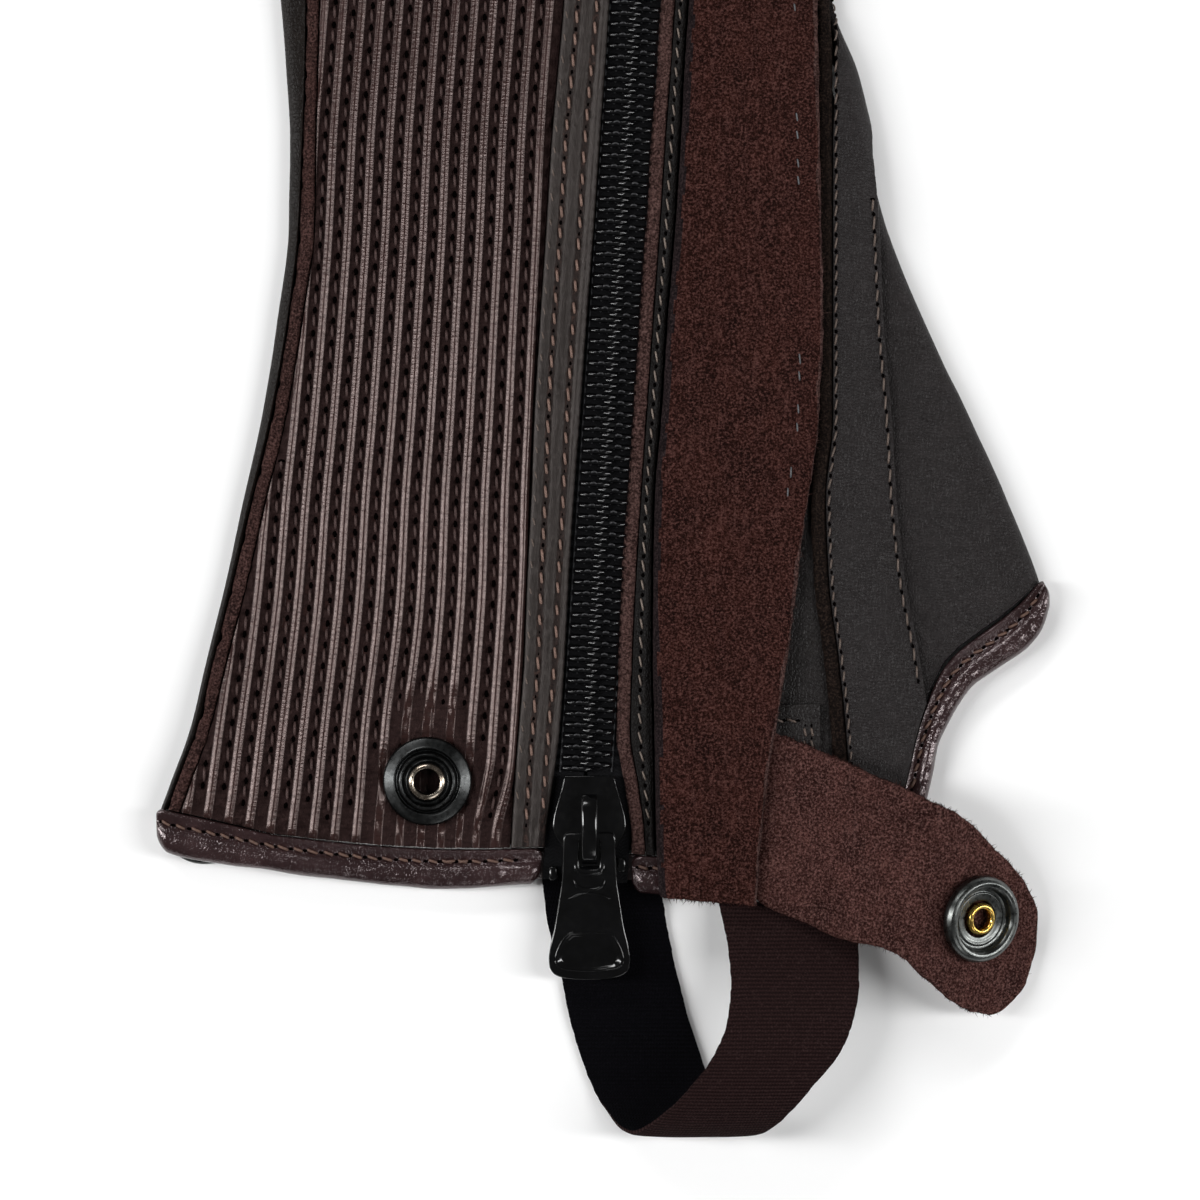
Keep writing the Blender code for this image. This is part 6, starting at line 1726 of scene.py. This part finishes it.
# =====================================================================  hardware
def snap_matrix(height):
    foot = place(np.array([SNAP_X, SNAP_Y, float(tab_height(SNAP_X, SNAP_Y))]))
    turn = Matrix.Rotation(math.radians(SNAP_TURN), 4, "Z") @ Matrix.Rotation(math.radians(SNAP_TILT), 4, "Y")
    return Matrix.Translation(Vector(foot)) @ turn @ Matrix.Translation(Vector((0, 0, height * MM)))


def at_point(x, y, z):
    return Matrix.Translation(Vector(place(np.array([x, y, z]))))


def tab_height(x, y):
    mids = [((r[0] + r[2]) / 2 + (y - (r[1] + r[3]) / 2) * (r[0] - r[2]) / (r[1] - r[3]), r[4]) for r in TAB_ROWS[3:-2]]
    return np.interp(x, [m[0] for m in mids], [m[1] for m in mids])


lathe("snap_socket_turned", rounded([
    (6.15, 0.9), (6.15, 1.5), (6.3, 2.2), (6.8, 2.75), (7.5, 2.85), (8.15, 2.5), (8.6, 1.7), (8.7, 0.7), (8.5, 0.15), (8.0, 0.0), (3.7, 0.0), (3.7, 0.7),
    (4.6, 0.78), (5.2, 1.0), (5.5, 0.7), (6.15, 0.9),
], 0.2, 4), GUNMETAL, 128, snap_matrix(T_TAB + 0.45))
lathe("snap_eyelet_turned", rounded([
    (2.05, 1.35), (2.35, 1.75), (2.8, 1.75), (3.15, 1.4), (3.25, 0.9), (3.1, 0.4), (3.25, 0.0), (2.1, 0.0), (1.95, 0.6), (2.05, 1.35),
], 0.15, 4), BRASS, 96, snap_matrix(T_TAB + 0.45))
lathe("tab_snap_cap_turned", [
    (0.0, 0.0), (8.2, 0.0), (8.5, -0.1), (8.6, -0.4), (8.3, -0.8), (7.2, -1.2), (5.6, -1.55), (4.0, -1.72), (2.0, -1.79), (0.0, -1.8),
], GUNMETAL, 96, snap_matrix(-0.45))
lathe("heel_snap_cap_turned", [
    (0.0, 1.2), (5.8, 1.2), (7.2, 1.12), (8.2, 0.95), (8.7, 0.6), (8.8, 0.3), (8.7, 0.1), (8.5, 0.0), (0.0, 0.0),
], GUNMETAL, 96, at_point(CAP_X, CAP_Y, 0.0))
# the stud: a dished flange, a bead and a rolled post
lathe("stud_turned", rounded([
    (8.8, 0.6), (8.85, 1.1), (8.5, 1.55), (7.6, 1.85), (6.95, 2.05), (6.7, 2.18), (6.42, 2.0), (6.2, 1.62), (6.0, 1.7), (5.75, 2.5), (5.4, 2.92), (5.0, 2.82),
    (4.7, 2.35), (4.2, 2.2), (3.75, 2.7), (3.6, 3.9), (3.5, 4.5), (3.1, 4.82), (2.72, 4.75), (2.55, 4.4), (2.5, 3.6), (2.5, -0.95), (4.6, -0.95), (4.6, 0.2), (8.4, 0.4), (8.8, 0.6),
], 0.12, 3), STUD, 128, at_point(STUD_X, STUD_Y, Z_UPPER + 1.2))
lathe("stud_rim_turned", rounded([
    (2.52, 4.78), (2.7, 5.02), (3.1, 5.12), (3.5, 4.9), (3.72, 4.4), (3.64, 4.2), (3.45, 4.6), (3.1, 4.86), (2.74, 4.8), (2.52, 4.78),
], 0.06, 3), RIM, 96, at_point(STUD_X, STUD_Y, Z_UPPER + 1.2), replaces=[])


def plate(name, loops, z0, z1, mat, bevel=0.3, matrix=None, body="chap", replaces=(), smooth=38, segments=3):
    """A flat plate from outlines (the first one outside, the rest holes), its edges rounded."""
    curve = bpy.data.curves.new(name, "CURVE")
    curve.dimensions = "2D"
    curve.fill_mode = "BOTH"
    curve.extrude = (z1 - z0) / 2 * MM - bevel * MM
    curve.bevel_depth = bevel * MM
    curve.bevel_resolution = segments
    curve.offset = -bevel * MM
    for loop in loops:
        spline = curve.splines.new("POLY")
        spline.points.add(len(loop) - 1)
        for p, (x, y) in zip(spline.points, loop):
            p.co = (x * MM, y * MM, 0.0, 1.0)
        spline.use_cyclic_u = True
    temp = bpy.data.objects.new(name + "_draft", curve)
    bpy.context.scene.collection.objects.link(temp)
    bpy.context.view_layer.update()
    mesh = bpy.data.meshes.new_from_object(temp.evaluated_get(bpy.context.evaluated_depsgraph_get()))
    bpy.data.objects.remove(temp)
    bpy.data.curves.remove(curve)
    bm = bmesh.new()
    bm.from_mesh(mesh)
    bmesh.ops.remove_doubles(bm, verts=bm.verts, dist=1e-7)
    bmesh.ops.recalc_face_normals(bm, faces=bm.faces)
    bm.transform(Matrix.Translation(Vector((0, 0, (z0 + z1) / 2 * MM))))
    if matrix is not None:
        bm.transform(matrix)
    bm.to_mesh(mesh)
    bm.free()
    mesh.materials.clear()
    mesh.materials.append(mat)
    mesh.shade_smooth()
    mesh.set_sharp_from_angle(angle=math.radians(smooth))
    obj = bpy.data.objects.new(name, mesh)
    bpy.context.scene.collection.objects.link(obj)
    return finish_piece(obj, body, replaces)


def smooth_loop(points, per=6):
    """A closed outline eased through its points."""
    p = np.asarray(points, float)
    out = []
    n = len(p)
    for i in range(n):
        a, b, c, d = p[i - 1], p[i], p[(i + 1) % n], p[(i + 2) % n]
        for t in np.linspace(0, 1, per, endpoint=False):
            out.append(tuple(0.5 * ((2 * b) + (c - a) * t + (2 * a - 5 * b + 4 * c - d) * t * t + (3 * b - a - 3 * c + d) * t**3)))
    return out


# ---- the slider: two plates with the coil's channel between them, and a bridge for the pull
sl = [(5.0, 9.0), (5.6, 6.4), (6.5, 3.4), (7.15, 0.6), (7.3, -1.2), (6.8, -2.8), (5.9, -4.2), (5.0, -5.8), (4.55, -7.6), (4.2, -8.8), (3.2, -9.1)]
half_loop = curve_through(sl, 30)
loop = [tuple(p) for p in half_loop] + [(-x, y) for x, y in half_loop[::-1]]
slide_at = at_point(SLIDER_X, SLIDER_Y, 0.0)
plate("zip_slider_top", [loop], 5.55, 6.75, LACQUER, 0.24, slide_at, replaces=["zip_slider"])
low_loop = [(x * 0.985, y * 0.985) for x, y in loop]
plate("zip_slider_low", [low_loop], 4.0, 4.95, LACQUER, 0.25, slide_at)
# side walls join the plates and hold the coil in
wall = Heap()
for sgn in (-1, 1):
    pts = [(sgn * (x - 0.55), y, 5.25) for x, y in curve_through([(5.9, 3.6), (6.9, 0.6), (7.05, -1.2), (6.5, -2.8), (5.6, -4.2), (4.7, -5.8), (4.35, -8.2)], 22)]
    wv, wf = tube([(x + SLIDER_X, y + SLIDER_Y, z) for x, y, z in pts], 0.62, 12)
    wall.add(wv, wf, [(0, 0, 0)])
wall.make("zip_slider_walls", LACQUER, "zip_black")
# the bridge, seen from the side as (along Y, up Z) from the hinge
outer = [(8.4, -2.0), (8.2, 0.6), (7.2, 1.9), (5.0, 2.4), (2.0, 2.5), (-1.0, 2.4), (-3.6, 1.9), (-5.2, 0.4), (-5.7, -2.0)]
hole = [(4.4, -1.25), (4.4, 0.7), (3.6, 1.25), (-0.8, 1.25), (-2.2, 0.8), (-2.9, -0.3), (-2.9, -1.25)]
turn = Matrix(((0, 0, 1, 0), (1, 0, 0, 0), (0, 1, 0, 0), (0, 0, 0, 1)))
plate("zip_slider_bridge", [outer, hole], -1.5, 1.5, LACQUER, 0.38, at_point(SLIDER_X, HINGE_Y, HINGE_Z) @ turn, smooth=50)

# ---- the pull: a plate with a window, a raised bow and a sunk panel
pull_at = at_point(SLIDER_X, HINGE_Y, HINGE_Z) @ Matrix.Rotation(math.radians(-PULL_TILT), 4, "X")
half_pull = curve_through([(4.1, 0.72), (4.95, 0.45), (5.2, -0.4), (5.25, -3.0), (5.45, -8.0), (6.1, -13.0), (6.9, -18.0), (7.8, -22.0), (8.1, -24.6), (7.9, -26.3), (7.0, -27.6), (5.6, -28.2), (3.6, -28.55), (1.4, -28.7)], 44)
pull_loop = [tuple(p) for p in half_pull] + [(-x, y) for x, y in half_pull[::-1]]
window = [(-2.1, -0.72), (-2.1, -5.6), (-1.9, -6.2), (-1.3, -6.5), (1.3, -6.5), (1.9, -6.2), (2.1, -5.6), (2.1, -0.72)]
pull = plate("zip_pull_plate", [pull_loop, window], -0.70, 0.70, LACQUER, 0.34, None, "pull", ["zip_pull"], smooth=35)
sunk = [(-3.5, -19.6), (3.5, -19.6), (4.5, -20.5), (5.9, -23.4), (6.15, -24.9), (5.2, -25.9), (2.8, -26.4), (0.0, -26.5), (-2.8, -26.4), (-5.2, -25.9), (-6.15, -24.9), (-5.9, -23.4), (-4.5, -20.5)]
bm = bmesh.new()
top = [bm.verts.new((x * MM * 1.10, (y + 23.2) * 1.10 * MM - 23.2 * MM, 0.95 * MM)) for x, y in sunk]
low = [bm.verts.new((x * MM * 0.90, (y + 23.2) * 0.90 * MM - 23.2 * MM, 0.22 * MM)) for x, y in sunk]
bm.faces.new(top)
bm.faces.new(low[::-1])
for i in range(len(top)):
    j = (i + 1) % len(top)
    bm.faces.new((top[j], top[i], low[i], low[j]))
bmesh.ops.recalc_face_normals(bm, faces=bm.faces)
cut_mesh = bpy.data.meshes.new("recess_cutter")
bm.to_mesh(cut_mesh)
bm.free()
cutter = bpy.data.objects.new("recess_cutter", cut_mesh)
bpy.context.scene.collection.objects.link(cutter)
mod = pull.modifiers.new("recess", "BOOLEAN")
mod.operation, mod.solver, mod.object = "DIFFERENCE", "EXACT", cutter
bpy.context.view_layer.update()
baked = bpy.data.meshes.new_from_object(pull.evaluated_get(bpy.context.evaluated_depsgraph_get()))
pull.modifiers.clear()
pull.data = baked
bpy.data.objects.remove(cutter)
bm = bmesh.new()
bm.from_mesh(baked)
sharp_edges = [e for e in bm.edges if len(e.link_faces) == 2 and e.calc_face_angle(0) > 0.5 and all(abs(v.co.z) > 0.3 * MM or True for v in e.verts)
               and min(v.co.y for v in e.verts) > -27.2 * MM and max(v.co.y for v in e.verts) < -18.6 * MM and max(abs(v.co.x) for v in e.verts) < 6.9 * MM]
bmesh.ops.bevel(bm, geom=sharp_edges, offset=0.10 * MM, segments=2, profile=0.5, affect="EDGES")
bm.transform(pull_at)
bm.to_mesh(baked)
bm.free()
baked.materials.clear()
baked.materials.append(LACQUER)
baked.shade_smooth()
baked.set_sharp_from_angle(angle=math.radians(38))
relief = Heap()
for pts, r in (
    ([(-2.9, -5.4), (-2.7, -6.5), (-1.9, -7.35), (0, -7.6), (1.9, -7.35), (2.7, -6.5), (2.9, -5.4)], 0.34),
    ([(-3.1, -8.6), (-2.6, -9.7), (-1.4, -10.4), (0, -10.55), (1.4, -10.4), (2.6, -9.7), (3.1, -8.6)], 0.36),
    ([(-4.1, -12.4), (-2.2, -11.6), (0, -11.35), (2.2, -11.6), (4.1, -12.4)], 0.26),
):
    cp = curve_through([(x, y, 0.70) for x, y in pts], 24)
    wv, wf = tube(cp, np.interp(np.linspace(0, 1, 24), [0, 0.12, 0.88, 1], [0.12, r, r, 0.12]), 10)
    relief.add(wv, wf, [(0, 0, 0)])
rim = curve_through([(x * 1.11, (y + 23.2) * 1.11 - 23.2, 0.66) for x, y in sunk + sunk[:1]], 60)
wv, wf = tube(rim, 0.17, 8)
relief.add(wv, wf, [(0, 0, 0)])
mesh = bpy.data.meshes.new("zip_pull_relief")
mesh.from_pydata((np.concatenate(relief.verts) * MM).tolist(), [], relief.faces)
mesh.transform(pull_at)
mesh.materials.append(LACQUER)
mesh.shade_smooth()
obj = bpy.data.objects.new("zip_pull_relief", mesh)
bpy.context.scene.collection.objects.link(obj)
finish_piece(obj, "pull")

# ---- stops
def block(name, cx, cy, z0, z1, w, l, bevel, mat, replaces):
    loop = [(-w / 2, -l / 2), (w / 2, -l / 2), (w / 2, l / 2), (-w / 2, l / 2)]
    c = bevel * 0.9
    loop = [(-w / 2 + c, -l / 2), (w / 2 - c, -l / 2), (w / 2, -l / 2 + c), (w / 2, l / 2 - c), (w / 2 - c, l / 2), (-w / 2 + c, l / 2), (-w / 2, l / 2 - c), (-w / 2, -l / 2 + c)]
    return plate(name, [loop], z0, z1, mat, min(bevel, 0.45 * (z1 - z0)), at_point(cx, cy, 0.0), replaces=replaces)


block("zip_stop_back_pressed", -9.3, 1.6, 4.05, 5.55, 1.7, 2.8, 0.4, LACQUER, ["zip_stop_back"])
block("zip_stop_front_pressed", 4.3, 3.2, 4.05, 5.55, 1.7, 2.8, 0.4, LACQUER, ["zip_stop_front"])
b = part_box("zip_top_stop")
lo, hi = np.array(b[0]) / MM, np.array(b[1]) / MM
block("zip_top_stop_pressed", (lo[0] + hi[0]) / 2 + ORIGIN_X, (lo[1] + hi[1]) / 2 + ORIGIN_Y, lo[2] + 0.05, hi[2] - 0.05, hi[0] - lo[0] - 0.4, hi[1] - lo[1] - 0.4, 0.6, LACQUER, ["zip_top_stop"])

# dark spots at the needle holes, in the painted-shade material
holes = Heap()
for n, shape in enumerate(((0.40, 0.78, 0.18), (0.32, 0.50, 0.14))):
    pts = [p for kind, p in GAPS if kind == n]
    if pts:
        pts = np.concatenate(pts)
        a = np.linspace(0, 2 * math.pi, 7)[:-1]
        hv = np.concatenate([[(0, 0, shape[2])], np.stack([shape[0] * np.cos(a), shape[1] * np.sin(a), 0 * a], -1), [(0, 0, -0.2)]])
        hf = [(0, 1 + i, 1 + (i + 1) % 6) for i in range(6)] + [(7, 1 + (i + 1) % 6, 1 + i) for i in range(6)]
        holes.add(hv, hf, pts[:, :3], pts[:, 3])
holes.make("needle_hole_shade_spots", HOLE_SHADE, "leather_smooth", sharp=0)

# =====================================================================  floor, lights, camera
floor_mesh = bpy.data.meshes.new("floor")
floor_mesh.from_pydata([(-3, -3, 0), (3, -3, 0), (3, 3, 0), (-3, 3, 0)], [], [(0, 1, 2, 3)])
floor = bpy.data.objects.new("floor", floor_mesh)
floor.location = (0, 0, -0.0004)
bpy.context.scene.collection.objects.link(floor)
white = bpy.data.materials.new("floor_paper")
white.use_nodes = True
s = white.node_tree.nodes["Principled BSDF"]
s.inputs["Base Color"].default_value = (0.95, 0.95, 0.95, 1)
s.inputs["Roughness"].default_value = 0.95
s.inputs["Specular IOR Level"].default_value = 0.1
floor_mesh.materials.append(white)

FOCUS = place(np.array([0.0, 56.0, 0.0]))


def strip_light(name, direction, distance, size, power, color=(1, 1, 1)):
    """A softbox that looks at the middle of the frame; direction (x, y, z) points from there to it."""
    data = bpy.data.lights.new(name, "AREA")
    data.shape = "RECTANGLE"
    data.size, data.size_y = size
    data.energy = power
    data.color = color
    obj = bpy.data.objects.new(name, data)
    d = Vector(direction).normalized()
    obj.location = Vector(FOCUS) + d * distance
    obj.rotation_euler = d.to_track_quat("Z", "Y").to_euler()
    bpy.context.scene.collection.objects.link(obj)
    return obj


strip_light("softbox_left", (-1.55, 0.06, 1.0), 1.30, (0.20, 1.7), 19.5)
strip_light("softbox_right", (1.55, -0.04, 1.0), 1.30, (0.20, 1.7), 16.0)
strip_light("softbox_top", (-0.50, 1.15, 1.0), 1.6, (0.75, 0.16), 5.6)
strip_light("softbox_low", (0.6, -1.4, 1.0), 1.7, (0.7, 0.5), 3.2)
world = bpy.data.worlds.new("studio")
world.use_nodes = True
world.node_tree.nodes["Background"].inputs[0].default_value = (1.0, 1.0, 1.0, 1)
world.node_tree.nodes["Background"].inputs[1].default_value = 0.08
bpy.context.scene.world = world
bpy.context.scene.view_settings.view_transform = "Standard"
bpy.context.scene.view_settings.look = "None"
bpy.context.scene.view_settings.exposure = 0.0

DISTANCE = 1.3
cam_data = bpy.data.cameras.new("camera")
cam_data.sensor_width = 36.0
cam_data.lens = 36.0 * DISTANCE / 0.24
cam = bpy.data.objects.new("camera", cam_data)
cam.location = (FOCUS[0], FOCUS[1], DISTANCE)
bpy.context.scene.collection.objects.link(cam)
bpy.context.scene.camera = cam

declare_sheets()

# =====================================================================  sizes
bpy.context.view_layer.update()
total = 0
for o in DONE:
    o.data.calc_loop_triangles()
    total += len(o.data.loop_triangles)
    print("PIECE", o.name, len(o.data.loop_triangles))
print("TRIANGLES", total)
for n, v in FLAT.items():
    print("FLAT", n, *v)
